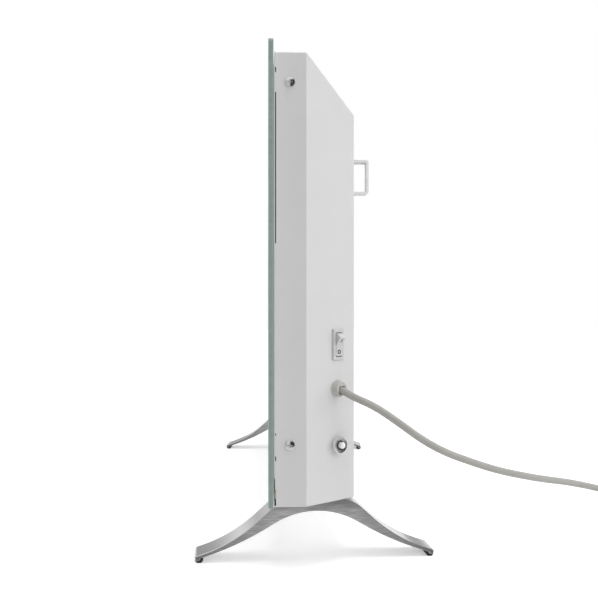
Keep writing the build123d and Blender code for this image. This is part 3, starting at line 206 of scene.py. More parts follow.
# Finishes of the record's material slots: two tones, the roughness from smooth to rough,
# the scale of the grain, weave or spangle, and the depth of the bump
finishes = {
    "cover_paint": dict(
        color=(0.657, 0.650, 0.653), shade=(0.645, 0.638, 0.641),
        rough=(0.36, 0.46), grain=1400, depth=1.4e-5,
    ),
    "amber_silicone": dict(
        color=(0.44, 0.39, 0.31), shade=(0.34, 0.30, 0.23),
        rough=(0.6, 0.75), grain=700, depth=3e-5,
    ),
    "grey_silicone": dict(
        color=(0.36, 0.36, 0.36), shade=(0.30, 0.30, 0.30),
        rough=(0.6, 0.75), grain=500, depth=3e-5,
    ),
    "black_rubber": dict(
        color=(0.012, 0.012, 0.012), shade=(0.03, 0.03, 0.03),
        rough=(0.6, 0.8), grain=1500, depth=3e-5,
    ),
    "screw_chrome": dict(
        color=(0.70, 0.70, 0.70), shade=(0.64, 0.64, 0.64),
        rough=(0.06, 0.12), metal=1.0, grain=900, depth=4e-6,
    ),
    "nut_chrome": dict(
        color=(0.93, 0.93, 0.93), shade=(0.85, 0.85, 0.85),
        rough=(0.10, 0.18), metal=1.0, grain=900, depth=3e-6,
    ),
    "switch_plastic": dict(
        color=(0.56, 0.58, 0.56), shade=(0.53, 0.55, 0.53),
        rough=(0.28, 0.36), grain=1800, depth=6e-6,
    ),
    "rocker_plastic": dict(
        color=(0.595, 0.60, 0.595), shade=(0.570, 0.575, 0.570),
        rough=(0.24, 0.32), grain=1800, depth=5e-6,
    ),
    "button_plastic": dict(
        color=(0.95, 0.95, 0.95), shade=(0.92, 0.92, 0.92),
        rough=(0.14, 0.2), grain=1500, depth=4e-6,
    ),
    "grip_plastic": dict(
        color=(0.49, 0.485, 0.462), shade=(0.45, 0.445, 0.425),
        rough=(0.42, 0.55), grain=1600, depth=1.5e-5,
    ),
    "tie_plastic": dict(
        color=(0.62, 0.62, 0.59), shade=(0.56, 0.56, 0.53),
        rough=(0.35, 0.45), grain=1200, depth=8e-6,
    ),
    "grille_plastic": dict(
        color=(0.54, 0.54, 0.54), shade=(0.51, 0.51, 0.51),
        rough=(0.42, 0.52), grain=1500, depth=1.5e-5,
    ),
    "dark_plastic": dict(
        color=(0.02, 0.02, 0.02), shade=(0.04, 0.04, 0.04),
        rough=(0.4, 0.5), grain=1200, depth=1.5e-5,
    ),
    "plug_plastic": dict(
        color=(0.35, 0.34, 0.32), shade=(0.32, 0.31, 0.29),
        rough=(0.4, 0.5), grain=1500, depth=1.5e-5,
    ),
    "wire_sleeve": dict(
        color=(0.5, 0.46, 0.38), shade=(0.4, 0.37, 0.3),
        rough=(0.6, 0.7), weave=900, depth=3e-5,
    ),
    "board_laminate": dict(
        color=(0.012, 0.10, 0.03), shade=(0.02, 0.16, 0.05),
        rough=(0.25, 0.4), weave=500, depth=3e-5,
    ),
    "cord_rubber": dict(
        color=(0.395, 0.386, 0.362), shade=(0.362, 0.354, 0.330),
        rough=(0.42, 0.55), grain=900, depth=2e-5,
    ),
    "pin_nickel": dict(
        color=(0.62, 0.6, 0.56), shade=(0.54, 0.52, 0.49),
        rough=(0.2, 0.32), metal=1.0, grain=800, depth=5e-6, stretch=(1, 12, 12),
    ),
    "terminal_brass": dict(
        color=(0.6, 0.43, 0.18), shade=(0.5, 0.35, 0.14),
        rough=(0.25, 0.4), metal=1.0, grain=800, depth=6e-6,
    ),
    "black_steel": dict(
        color=(0.035, 0.035, 0.035), shade=(0.05, 0.05, 0.05),
        rough=(0.45, 0.6), metal=0.4, grain=900, depth=1e-5,
    ),
    "zinc_steel": dict(
        color=(0.52, 0.53, 0.54), shade=(0.42, 0.43, 0.45),
        rough=(0.3, 0.45), metal=1.0, spangle=160, grain=600, depth=5e-6,
    ),
    "element_aluminium": dict(
        color=(0.42, 0.42, 0.42), shade=(0.34, 0.34, 0.34),
        rough=(0.4, 0.55), metal=1.0, grain=500, depth=1e-5, stretch=(1, 20, 20),
    ),
    "shield_aluminium": dict(
        color=(0.6, 0.6, 0.6), shade=(0.54, 0.54, 0.54),
        rough=(0.3, 0.4), metal=1.0, grain=500, depth=6e-6, stretch=(1, 1, 18),
    ),
    "bush_ceramic": dict(
        color=(0.72, 0.69, 0.61), shade=(0.66, 0.63, 0.55),
        rough=(0.6, 0.7), grain=900, depth=2e-5,
    ),
}


def makeFinish(name, look):
    material, tree, shader, coords = startMaterial(name)
    shader.inputs["Metallic"].default_value = look.get("metal", 0.0)
    if "weave" in look:
        height = threadsOn(tree, coords, look["weave"])
    else:
        height = noiseOn(tree, coords, look["grain"], noise["grainDetail"], look.get("stretch", (1, 1, 1)))
    if "weave" in look:
        shaded = height
    elif "spangle" in look:
        shaded = crystalsOn(tree, coords, look["spangle"])
    else:
        shaded = patchesOn(tree, coords)
    tree.links.new(blendColors(tree, shaded, look["color"], look["shade"]), shader.inputs["Base Color"])
    rough = spread(tree, height, noise["low"], noise["high"], *look["rough"])
    tree.links.new(rough, shader.inputs["Roughness"])
    addBump(tree, shader, height, look["depth"])
    return material


# White enamelled glass: green-grey ground edges, light arrises, dark window over the display
panelGlass = {
    "edge": (0.268, 0.350, 0.330),
    "edgeShade": (0.238, 0.314, 0.297),
    "arris": (0.40, 0.47, 0.455),
    "face": (0.80, 0.83, 0.82),
    "window": (0.012, 0.013, 0.015),
    "windowPlace": (0.300, 0.097),
    "windowHalf": (0.0435, 0.0135),
    "front": -0.046,
    "arrisFrom": 0.1,  # shares of the turn from an edge to the front or back
    "arrisTo": 0.3,
    "faceFrom": 0.8,
    "faceTo": 0.95,
    "streaks": 60,
    "streakDetail": 4,
    "streakStretch": (1, 1, 3),
    "streakLow": 0.35,
    "streakHigh": 0.65,
    "roughEdge": 0.34,
    "roughFace": 0.05,
}


def makePanelGlass(look):
    material, tree, shader, coords = startMaterial("white_glass")
    facing = calculate(tree, "ABSOLUTE", facingAxes(tree)["Y"])
    onArris = spread(tree, facing, look["arrisFrom"], look["arrisTo"])
    onFace = spread(tree, facing, look["faceFrom"], look["faceTo"])
    streaks = noiseOn(tree, coords, look["streaks"], look["streakDetail"], look["streakStretch"])
    streaks = spread(tree, streaks, look["streakLow"], look["streakHigh"])
    edge = blendColors(tree, streaks, look["edge"], look["edgeShade"])
    edge = blendColors(tree, onArris, edge, look["arris"])
    place = axesOf(tree, coords)
    inX = calculate(tree, "COMPARE", place["X"], look["windowPlace"][0], look["windowHalf"][0])
    inZ = calculate(tree, "COMPARE", place["Z"], look["windowPlace"][1], look["windowHalf"][1])
    inFront = calculate(tree, "LESS_THAN", place["Y"], look["front"])
    window = calculate(tree, "MULTIPLY", calculate(tree, "MULTIPLY", inX, inZ), inFront)
    face = blendColors(tree, window, look["face"], look["window"])
    tree.links.new(blendColors(tree, onFace, edge, face), shader.inputs["Base Color"])
    rough = spread(tree, onFace, 0, 1, look["roughEdge"], look["roughFace"])
    tree.links.new(rough, shader.inputs["Roughness"])
    return material


# Brushed aluminium feet: light lines along the arch, sawn flanks with painted shade towards the toes and
# painted shadow under the casing's edge
footMetal = {
    "top": (0.70, 0.70, 0.70),
    "topShade": (0.65, 0.65, 0.65),
    "flank": (0.68, 0.68, 0.685),
    "flankShade": (0.36, 0.36, 0.365),
    "flankFrom": 0.85,
    "flankTo": 0.97,
    "lines": 60.0,
    "lineDetail": 5,
    "lineStretch": (1.0, 0.04, 1.0),
    "fine": 800.0,
    "fineDetail": 3,
    "fineStretch": (1.0, 0.02, 1.0),
    # painted shade: the flank darkens towards the toes, where the floor beside it lies in shadow
    "toeShadeFrom": 0.040,
    "toeShadeTo": 0.115,
    "toeShadeTone": 0.40,
    # painted shadow: the flank darkens just under the casing's bottom edge, which overhangs it
    "seamShadowFrom": 0.047,
    "seamShadowTo": 0.060,
    "seamShadowTone": 0.55,
    "roughTop": 0.10,
    "roughFlank": 0.46,
    "depth": 1.5e-6,
}


# the tone of the painted shade on a flank
def shadedFlank(look, tone):
    return tuple(tone * (first + second) / 2 for first, second in zip(look["flank"], look["flankShade"]))


def makeFootMetal(look):
    material, tree, shader, coords = startMaterial("brushed_foot")
    shader.inputs["Metallic"].default_value = 1.0
    facing = calculate(tree, "ABSOLUTE", facingAxes(tree)["X"])
    onFlank = spread(tree, facing, look["flankFrom"], look["flankTo"])
    broad = noiseOn(tree, coords, look["lines"], look["lineDetail"], look["lineStretch"])
    broad = spread(tree, broad, noise["low"], noise["high"])
    top = blendColors(tree, broad, look["top"], look["topShade"])
    fine = noiseOn(tree, coords, look["fine"], look["fineDetail"], look["fineStretch"])
    lines = spread(tree, fine, noise["low"], noise["high"])
    flank = blendColors(tree, lines, look["flank"], look["flankShade"])
    place = axesOf(tree, coords)
    # painted shade towards the toes, then painted shadow under the casing's edge
    toeShadeShare = spread(tree, calculate(tree, "ABSOLUTE", place["Y"]), look["toeShadeFrom"], look["toeShadeTo"])
    flank = blendColors(tree, toeShadeShare, flank, shadedFlank(look, look["toeShadeTone"]))
    seamShadowShare = spread(tree, place["Z"], look["seamShadowFrom"], look["seamShadowTo"])
    flank = blendColors(tree, seamShadowShare, flank, shadedFlank(look, look["seamShadowTone"]))
    tree.links.new(blendColors(tree, onFlank, top, flank), shader.inputs["Base Color"])
    rough = spread(tree, onFlank, 0, 1, look["roughTop"], look["roughFlank"])
    tree.links.new(rough, shader.inputs["Roughness"])
    addBump(tree, shader, fine, look["depth"])
    return material


# Light paint of the steel plate; its face towards the glass is painted dark as shade, for the shadow in
# the narrow gap between them
platePaintAndShade = dict(
    color=(0.650, 0.645, 0.645), shade=(0.620, 0.615, 0.615),
    rough=(0.4, 0.5), grain=900, depth=2e-5,
    # painted shade of the gap behind the glass
    dark=(0.030, 0.032, 0.034), gapShadeFrom=-0.97, gapShadeTo=-0.85,
)


def makePlatePaintAndShade(look):
    material = makeFinish("plate_paint_and_shade", look)
    tree = material.node_tree
    shader = tree.nodes["Principled BSDF"]
    paint = shader.inputs["Base Color"].links[0].from_socket
    # painted shade: the face towards the glass turns near-black, for the gap's shadow
    inGapShade = spread(tree, facingAxes(tree)["Y"], look["gapShadeFrom"], look["gapShadeTo"], 1, 0)
    tree.links.new(blendColors(tree, inGapShade, paint, look["dark"]), shader.inputs["Base Color"])
    return material


# The wall brackets share the casing's slot, in a lighter and smoother paint
bracketPaint = dict(
    color=(0.80, 0.795, 0.795), shade=(0.77, 0.765, 0.765),
    rough=(0.34, 0.44), grain=1400, depth=1.4e-5,
)

materials = {slot: makeFinish(slot, look) for slot, look in finishes.items()}
materials["white_glass"] = makePanelGlass(panelGlass)
materials["brushed_aluminium"] = makeFootMetal(footMetal)
materials["light_paint"] = makePlatePaintAndShade(platePaintAndShade)
bracketFinish = makeFinish("bracket_paint", bracketPaint)
for name, node in nodes.items():
    finish = bracketFinish if name.startswith("wall_bracket") else materials[slotOf[name]]
    for place in node.material_slots:
        place.material = finish
print(len(materials), "finishes on", len(nodes), "nodes")

# Steps that the modelled pieces share
weld = 1e-6  # corners nearer than this are one


def vertsIn(items):
    return [item for item in items if isinstance(item, bmesh.types.BMVert)]


def edgesIn(items):
    return [item for item in items if isinstance(item, bmesh.types.BMEdge)]


def finishPiece(bm, name, slot, body="heater", sharpAt=32, replaced=(), matrix=None, material=None):
    if matrix is not None:
        bmesh.ops.transform(bm, matrix=matrix, verts=bm.verts)
    bmesh.ops.remove_doubles(bm, verts=bm.verts, dist=weld)
    bmesh.ops.recalc_face_normals(bm, faces=bm.faces)
    mesh = bpy.data.meshes.new(name)
    bm.to_mesh(mesh)
    bm.free()
    for face in mesh.polygons:
        face.use_smooth = True
    mesh.set_sharp_from_angle(angle=radians(sharpAt))
    mesh.materials.append(material or materials[slot])
    piece = addObject(name, mesh)
    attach(piece, body)
    if replaced:
        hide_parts(*replaced)
    return piece


def pourInto(bm, part):
    # empties one bmesh into another
    helper = bpy.data.meshes.new("helper")
    part.to_mesh(helper)
    part.free()
    bm.from_mesh(helper)
    bpy.data.meshes.remove(helper)


def spinProfile(bm, points, steps):
    # points are (radius, height) round the z axis
    corners = [bm.verts.new((radius, 0, height)) for radius, height in points]
    edges = [bm.edges.new(pair) for pair in zip(corners, corners[1:])]
    bmesh.ops.spin(
        bm,
        geom=corners + edges,
        cent=(0, 0, 0),
        axis=(0, 0, 1),
        angle=2 * pi,
        steps=steps,
        use_merge=True,
    )


def roundedPoints(centre, radius, fromAngle, toAngle, steps):
    # an arc of a profile as (radius, height) points
    angles = [fromAngle + (toAngle - fromAngle) * n / steps for n in range(steps + 1)]
    return [(centre[0] + radius * cos(a), centre[1] + radius * sin(a)) for a in angles]


# Camera at the photograph's viewing angle
camera = {
    "place": (1.1974, -0.0465, 0.2474),
    "yaw": 0.03629,
    "pixels": 598,  # the side of the square picture; focal length and drop are in its pixels
    "focal": 856,
    "drop": 10.4,
    "sensor": 36.0,
    "near": 0.02,
}


def makeCamera():
    lens = bpy.data.cameras.new("photoCamera")
    lens.sensor_width = camera["sensor"]
    lens.lens = camera["focal"] / camera["pixels"] * camera["sensor"]
    lens.shift_y = camera["drop"] / camera["pixels"]
    lens.clip_start = camera["near"]
    cameraObject = addObject("photoCamera", lens)
    cameraObject.location = camera["place"]
    cameraObject.rotation_euler = (pi / 2, 0, pi / 2 - camera["yaw"])
    bpy.context.scene.camera = cameraObject


makeCamera()
print("camera set")

# Mains lead: out of the grip, down behind the heater and along the floor to its coil and plug
lead = {
    "diameter": 0.007,
    "length": 1.75,
    "droop": radians(19.5),
    "gripProud": 0.0063,
    "mouth": 0.004,
    "mouthDrop": 0.0014,
    "firstRun": 0.020,
    "route": [
        (0.3945, 0.0545, 0.1560),
        (0.3970, 0.0770, 0.1405),
        (0.3925, 0.1000, 0.1235),
        (0.3840, 0.1240, 0.1100),
        (0.3720, 0.1500, 0.0995),
        (0.3550, 0.1780, 0.0885),
        (0.3340, 0.2080, 0.0790),
        (0.3070, 0.2420, 0.0690),
        (0.2720, 0.2820, 0.0585),
        (0.2340, 0.3280, 0.0440),
        (0.2000, 0.3720, 0.0280),
        (0.1720, 0.4120, 0.0125),
        (0.1540, 0.4480, 0.0040),
    ],
    "coilPlace": (0.196, 0.520),
    "coilRadius": 0.047,
    "coilLead": 0.007,
    "coilApproach": 0.022,
    "coilFloor": 0.0046,
    "turns": 4.25,
    "pitch": 0.0077,
    "climbTurns": 0.5,
    "pointsPerTurn": 16,
    "spread": 1.0165,  # the smooth line runs inside its points, so they stand a little wider
    "fromCoil": [(0.0210, 0, 0), (0.0430, 0.0015, 0.0022)],
    "toPlug": [(-0.0300, 0.0015, -0.0016), (-0.0140, 0, 0)],
    "plugPlace": (0.292, 0.560, 0.0181),
    "roundSteps": 6,
    "runSteps": 8,
}
leadOut = wallOut * cos(lead["droop"]) - upward * sin(lead["droop"])
leadStart = onWall(controls["grip"] - lead["mouthDrop"], lead["gripProud"]) - leadOut * lead["mouth"]
plugPlace = Vector(lead["plugPlace"])


def coilPoint(turn):
    # inwards on the floor, up in the middle and outwards on the first layer
    travelled = min(turn, lead["turns"] - turn)
    radius = (lead["coilRadius"] - lead["pitch"] * travelled) * lead["spread"]
    climb = min(max((turn - lead["turns"] / 2) / lead["climbTurns"] + 0.5, 0.0), 1.0)
    height = lead["coilFloor"] + lead["pitch"] * climb * climb * (3 - 2 * climb)
    angle = pi - 2 * pi * turn
    centre = lead["coilPlace"]
    return Vector((centre[0] + radius * cos(angle), centre[1] + radius * sin(angle), height))


def leadPoints():
    centre = lead["coilPlace"]
    coilEntry = Vector((centre[0] - lead["coilRadius"], centre[1] - lead["coilLead"], lead["coilFloor"]))
    coilSteps = round(lead["turns"] * lead["pointsPerTurn"])
    coilEnd = coilPoint(lead["turns"])
    points = [leadStart, leadStart + leadOut * lead["firstRun"]]
    points += [Vector(place) for place in lead["route"]]
    points += [coilEntry - Vector((0, lead["coilApproach"], 0)), coilEntry]
    points += [coilPoint(n / lead["pointsPerTurn"]) for n in range(1, coilSteps)]
    points += [coilEnd]
    points += [coilEnd + Vector(step) for step in lead["fromCoil"]]
    points += [plugPlace + Vector(step) for step in lead["toPlug"]]
    points += [plugPlace]
    return points


def makeLead():
    points = leadPoints()
    curve = bpy.data.curves.new("mainsLead", "CURVE")
    curve.dimensions = "3D"
    curve.bevel_depth = lead["diameter"] / 2
    curve.bevel_resolution = lead["roundSteps"]
    curve.resolution_u = lead["runSteps"]
    curve.use_fill_caps = True
    spline = curve.splines.new("NURBS")
    spline.points.add(len(points) - 1)
    for control, place in zip(spline.points, points):
        control.co = (*place, 1)
    spline.order_u = 3
    spline.use_endpoint_u = True
    curve.materials.append(materials["cord_rubber"])
    piece = addObject("mainsLead", curve)
    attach(piece, "heater")
    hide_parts("cord_run", "cord_coil", "cord_tail")
    print("lead with", len(points), "points")
    return piece


mainsLead = makeLead()

# Plug: flexible neck with rings, round body with grip flats
plug = {
    "neck": 0.026,
    "body": 0.032,
    "radius": 0.018,
    "neckRadius": 0.006,
    "mouth": 0.0037,
    "mouthEdge": 0.0006,
    "wall": 0.0045,
    "ringCount": 6,
    "ringSpare": 0.4,  # in ring lengths, as the next three are
    "ringFrom": 0.35,
    "ringTo": 0.85,
    "ringGrowth": 0.6,
    "ringDepth": 0.0006,
    "ringLip": 0.0004,
    "ringFloor": 0.0002,
    "shoulder": 0.005,
    "shoulderRise": 0.006,
    "shoulderLean": 0.35,
    "shoulderSteps": 8,
    "round": 0.0022,
    "roundSteps": 5,
    "flat": 0.0145,
    "steps": 64,
}


def plugOutline():
    neck, radius, end = plug["neck"], plug["radius"], plug["neck"] + plug["body"]
    outline = [(0.0, 0.0), (plug["mouth"], 0.0), (plug["wall"], plug["mouthEdge"])]
    for n in range(plug["ringCount"]):  # rings of the flexible neck
        low = neck * (n + plug["ringFrom"]) / (plug["ringCount"] + plug["ringSpare"])
        high = neck * (n + plug["ringTo"]) / (plug["ringCount"] + plug["ringSpare"])
        widening = (plug["neckRadius"] - plug["wall"]) * (n + plug["ringGrowth"]) / plug["ringCount"]
        outer = plug["wall"] + widening
        inner = outer - plug["ringDepth"]
        outline += [(outer, low - plug["ringLip"]), (inner, low + plug["ringFloor"])]
        outline += [(inner, high - plug["ringFloor"]), (outer, high + plug["ringLip"])]
    outline += [(plug["neckRadius"], neck)]
    centre = (radius - plug["shoulder"], neck + plug["shoulderRise"])
    lean = -pi / 2 - plug["shoulderLean"]
    outline += roundedPoints(centre, plug["shoulder"], lean, 0, plug["shoulderSteps"])
    outline += [(radius, end - plug["round"])]
    centre = (radius - plug["round"], end - plug["round"])
    outline += roundedPoints(centre, plug["round"], 0, pi / 2, plug["roundSteps"])
    outline += [(0.0, end)]
    return outline


def makePlug():
    bm = bmesh.new()
    spinProfile(bm, plugOutline(), plug["steps"])
    for side in (1, -1):  # grip flats
        cut = bmesh.ops.bisect_plane(
            bm,
            geom=bm.verts[:] + bm.edges[:] + bm.faces[:],
            plane_co=(0, side * plug["flat"], 0),
            plane_no=(0, side, 0),
            clear_outer=True,
        )
        bmesh.ops.edgeloop_fill(bm, edges=edgesIn(cut["geom_cut"]))
    place = Matrix.Translation(plugPlace) @ Matrix.Rotation(pi / 2, 4, "Y")
    return finishPiece(bm, "plugShell", "plug_plastic", replaced=("plug_body",), matrix=place)


plugShell = makePlug()
print("lead and plug made")

# Feet: one arched section with a bead at each toe
foot = {
    "spread": 0.671,
    "splay": radians(4),
    "width": 0.035,
    "top": 0.061,
    "flat": 0.020,
    "shoulderRadius": 0.0367,
    "shoulderSlope": radians(42),
    "shoulderRun": 0.0175,
    "arch": 0.0482,
    "archRadius": 0.080,
    "archSlope": radians(30),
    "archRun": 0.0115,
    "toe": 0.1164,
    "beadHeight": 0.0047,
    "bead": 0.0026,
    "beadTurn": 1.5 * pi,
    "bevel": 0.0005,
    "crownSteps": 12,
    "legSteps": 16,
    "beadSteps": 18,
}


def lineOn(bm, last, y, z):
    corner = bm.verts.new((0, y, z))
    bm.edges.new((last, corner))
    return corner


def arcOn(bm, last, heading, y, z, steps):
    # an arc that leaves the last corner along a heading and ends at y, z; returns its end
    start = Vector((last.co.y, last.co.z))
    chord = Vector((y, z)) - start
    normal = Vector((-heading[1], heading[0]))
    radius = chord.length_squared / (2 * chord.dot(normal))
    centre = start + normal * radius
    first = start - centre
    final = Vector((y, z)) - centre
    angle = atan2(first.x * final.y - first.y * final.x, first.dot(final))
    spun = bmesh.ops.spin(
        bm, geom=[last], cent=(0, centre.x, centre.y), axis=(1, 0, 0), angle=angle, steps=steps
    )
    return vertsIn(spun["geom_last"])[0]


def drawFootTop(bm):
    # from the middle over the shoulder, down the leg and round the bead
    slope = foot["shoulderSlope"]
    heading = (cos(slope), -sin(slope))
    y = foot["flat"] + foot["shoulderRadius"] * sin(slope)
    z = foot["top"] - foot["shoulderRadius"] * (1 - cos(slope))
    run = foot["shoulderRun"]
    tip = bm.verts.new((0, 0, foot["top"]))
    tip = lineOn(bm, tip, foot["flat"], foot["top"])
    tip = arcOn(bm, tip, (1, 0), y, z, foot["crownSteps"])
    tip = lineOn(bm, tip, y + run * heading[0], z + run * heading[1])
    tip = arcOn(bm, tip, heading, foot["toe"], foot["beadHeight"] + foot["bead"], foot["legSteps"])
    bmesh.ops.spin(
        bm,
        geom=[tip],
        cent=(0, foot["toe"], foot["beadHeight"]),
        axis=(1, 0, 0),
        angle=-foot["beadTurn"],
        steps=foot["beadSteps"],
    )


def drawFootArch(bm):
    # from the middle along the underside to the bead
    slope = foot["archSlope"]
    heading = (cos(slope), -sin(slope))
    y = foot["archRadius"] * sin(slope)
    z = foot["arch"] - foot["archRadius"] * (1 - cos(slope))
    run = foot["archRun"]
    back = bm.verts.new((0, 0, foot["arch"]))
    back = arcOn(bm, back, (1, 0), y, z, foot["crownSteps"])
    back = lineOn(bm, back, y + run * heading[0], z + run * heading[1])
    arcOn(bm, back, heading, foot["toe"] - foot["bead"], foot["beadHeight"], foot["legSteps"])


def makeFoot(side, hand):
    bm = bmesh.new()
    drawFootTop(bm)
    drawFootArch(bm)
    bmesh.ops.remove_doubles(bm, verts=bm.verts, dist=weld)
    mirrored = bmesh.ops.duplicate(bm, geom=bm.verts[:] + bm.edges[:])
    bmesh.ops.scale(bm, vec=(1, -1, 1), verts=vertsIn(mirrored["geom"]))
    bmesh.ops.remove_doubles(bm, verts=bm.verts, dist=weld)
    section = bmesh.ops.contextual_create(bm, geom=bm.edges[:])
    grown = bmesh.ops.extrude_face_region(bm, geom=section["faces"])
    bmesh.ops.translate(bm, vec=(foot["width"], 0, 0), verts=vertsIn(grown["geom"]))
    rims = [edge for edge in bm.edges if abs(edge.verts[0].co.x - edge.verts[1].co.x) < weld]
    bmesh.ops.bevel(
        bm, geom=rims, offset=foot["bevel"], segments=1, profile=0.5, affect="EDGES", material=-1
    )
    place = Matrix.Translation((side * foot["spread"] / 2, 0, 0))
    place = place @ Matrix.Rotation(side * foot["splay"], 4, "Z")
    place = place @ Matrix.Translation((-foot["width"] / 2, 0, 0))
    return finishPiece(
        bm, hand + "FootCasting", "brushed_aluminium", replaced=("foot_" + hand,), matrix=place
    )


for side, hand in ((1, "right"), (-1, "left")):
    makeFoot(side, hand)
print("feet made")

# Pan-head screws with a cross recess, on the casing sides and the wall brackets
panHead = {
    "radius": 0.0045,
    "top": 0.0026,
    "fall": 0.0015,
    "rings": (0.0031, 0.0036, 0.0040, 0.0043, 0.0045),
    "skirt": 0.0006,
    "edgeRound": 0.0003,
    "shank": 0.0019,
    "shankDepth": 0.0070,
    "crossReach": 0.0026,
    "crossHalf": 0.00045,
    "crossDepth": 0.0011,
    "steps": 32,
    "sharpAt": 38,
}


def domeRise(across):
    return panHead["top"] - panHead["fall"] * (across / panHead["radius"]) ** 2


def growLoop(bm, edges, radius, height):
    # carries a round rim on to another radius and height, and returns the new rim
    grown = bmesh.ops.extrude_edge_only(bm, edges=edges)
    corners = vertsIn(grown["geom"])
    share = radius / hypot(corners[0].co.x, corners[0].co.y)
    bmesh.ops.scale(bm, vec=(share, share, 1), verts=corners)
    bmesh.ops.translate(bm, vec=(0, 0, height - corners[0].co.z), verts=corners)
    return [edge for edge in edgesIn(grown["geom"]) if len(edge.link_faces) == 1]


def drawCross(bm):
    reach, half = panHead["crossReach"], panHead["crossHalf"]
    quarter = [(reach, half), (half, half), (half, reach)]
    corners = []
    for turn in range(4):
        spun = Matrix.Rotation(turn * pi / 2, 3, "Z")
        corners += [bm.verts.new(spun @ Vector((*corner, 0))) for corner in quarter]
    return [bm.edges.new(pair) for pair in zip(corners, corners[1:] + corners[:1])]


def addPanHead(bm, place):
    head = bmesh.new()
    cross = drawCross(head)
    bmesh.ops.create_circle(head, cap_ends=False, segments=panHead["steps"], radius=panHead["rings"][0])
    rim = head.edges[:][len(cross):]
    bmesh.ops.triangle_fill(head, edges=cross + rim, use_beauty=True)
    for corner in head.verts:
        corner.co.z = domeRise(hypot(corner.co.x, corner.co.y))
    sunk = bmesh.ops.extrude_edge_only(head, edges=cross)
    low = vertsIn(sunk["geom"])
    bmesh.ops.translate(head, vec=(0, 0, -panHead["crossDepth"]), verts=low)
    bottom = [edge for edge in edgesIn(sunk["geom"]) if all(corner in low for corner in edge.verts)]
    bmesh.ops.edgeloop_fill(head, edges=bottom)
    for radius in panHead["rings"][1:]:
        rim = growLoop(head, rim, radius, domeRise(radius))
    for radius, height in (
        (panHead["radius"], panHead["skirt"]),
        (panHead["radius"] - panHead["edgeRound"], 0.0),
        (panHead["shank"], 0.0),
        (panHead["shank"], -panHead["shankDepth"]),
    ):
        rim = growLoop(head, rim, radius, height)
    bmesh.ops.edgeloop_fill(head, edges=rim)
    bmesh.ops.transform(head, matrix=place, verts=head.verts)
    pourInto(bm, head)


def makeScrews(node, name, places):
    bm = bmesh.new()
    for place in places:
        addPanHead(bm, place)
    return finishPiece(bm, name, "screw_chrome", sharpAt=panHead["sharpAt"], replaced=(node,))


low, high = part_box("cover_screws")
sidePlaces = [
    Matrix.Translation((side * casing["halfWidth"], (low.y + high.y) / 2, z))
    @ Matrix.Rotation(side * pi / 2, 4, "Y")
    for side in (1, -1)
    for z in (low.z + panHead["radius"], high.z - panHead["radius"])
]
makeScrews("cover_screws", "casingSideScrews", sidePlaces)
low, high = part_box("bracket_screws")
bracketPlaces = [
    Matrix.Translation((x, high.y - panHead["top"], z)) @ Matrix.Rotation(-pi / 2, 4, "X")
    for x in (low.x + panHead["radius"], high.x - panHead["radius"])
    for z in (low.z + panHead["radius"], high.z - panHead["radius"])
]
makeScrews("bracket_screws", "bracketPanScrews", bracketPlaces)
print("screw heads made")

# Overload button: hex nut, bright ring, a turned dish whose darker colour is a painted dark reflection,
# domed button
resetSet = {
    "nutFlats": 0.0150,
    "nutHeight": 0.0040,
    "nutBevel": 0.0006,
    "bevelFrom": radians(40),
    "bore": 0.0047,
    "boreSteps": 36,
    "boreZone": 1.2,  # edges nearer than this many bores stay sharp
    "ringRadius": 0.0085,
    "ringHeight": 0.0013,
    "ringSteps": 64,
    "rim": 0.0007,
    "rimRound": 0.0004,
    "edgeRound": 0.0003,
    "dishLow": 0.0003,
    "dishLip": 0.0002,
    "dishCurve": 1.6,
    "dishSteps": 6,
    "buttonRadius": 0.0032,
    "buttonTop": 0.0094,
    "buttonLow": -0.006,
    "buttonSteps": 48,
    "dome": 0.0024,
    "domeSteps": 8,
    # painted reflection: the dish's chrome is darker than the ring's, for the dark surroundings it mirrors
    "dishReflectionLook": dict(
        color=(0.56, 0.56, 0.56), shade=(0.38, 0.38, 0.38),
        rough=(0.22, 0.32), metal=1.0, grain=1200, depth=5e-6,
    ),
}


def makeResetNut():
    bm = bmesh.new()
    corner = resetSet["nutFlats"] / 2 / cos(pi / 6)
    for segments, radius in ((6, corner), (resetSet["boreSteps"], resetSet["bore"])):
        bmesh.ops.create_circle(bm, cap_ends=False, segments=segments, radius=radius)
    bottom = bmesh.ops.triangle_fill(bm, edges=bm.edges[:], use_beauty=True)
    faces = [item for item in bottom["geom"] if isinstance(item, bmesh.types.BMFace)]
    grown = bmesh.ops.extrude_face_region(bm, geom=faces)
    bmesh.ops.translate(bm, vec=(0, 0, resetSet["nutHeight"]), verts=vertsIn(grown["geom"]))
    nearBore = resetSet["bore"] * resetSet["boreZone"]
    rim = [
        edge
        for edge in bm.edges
        if all(hypot(vert.co.x, vert.co.y) > nearBore for vert in edge.verts)
        and edge.calc_face_angle(0) > resetSet["bevelFrom"]
    ]
    bmesh.ops.bevel(
        bm, geom=rim, offset=resetSet["nutBevel"], segments=2, profile=0.5, affect="EDGES", material=-1
    )
    return finishPiece(
        bm, "resetHexNut", "nut_chrome", replaced=("reset_nut",), matrix=wallMatrix(controls["reset"])
    )


def makeResetRim(dishEdge, place):
    bm = bmesh.new()
    radius, height = resetSet["ringRadius"], resetSet["ringHeight"]
    outside, inside = resetSet["rimRound"], resetSet["edgeRound"]
    outline = [(dishEdge, 0), (radius - inside, 0), (radius, inside)]
    outline += roundedPoints((radius - outside, height - outside), outside, 0, pi / 2, 4)
    outline += roundedPoints((dishEdge + inside, height - inside), inside, pi / 2, pi, 3)
    outline += [(dishEdge, 0)]
    spinProfile(bm, outline, resetSet["ringSteps"])
    return finishPiece(bm, "resetRingRim", "nut_chrome", replaced=("reset_bezel",), matrix=place)


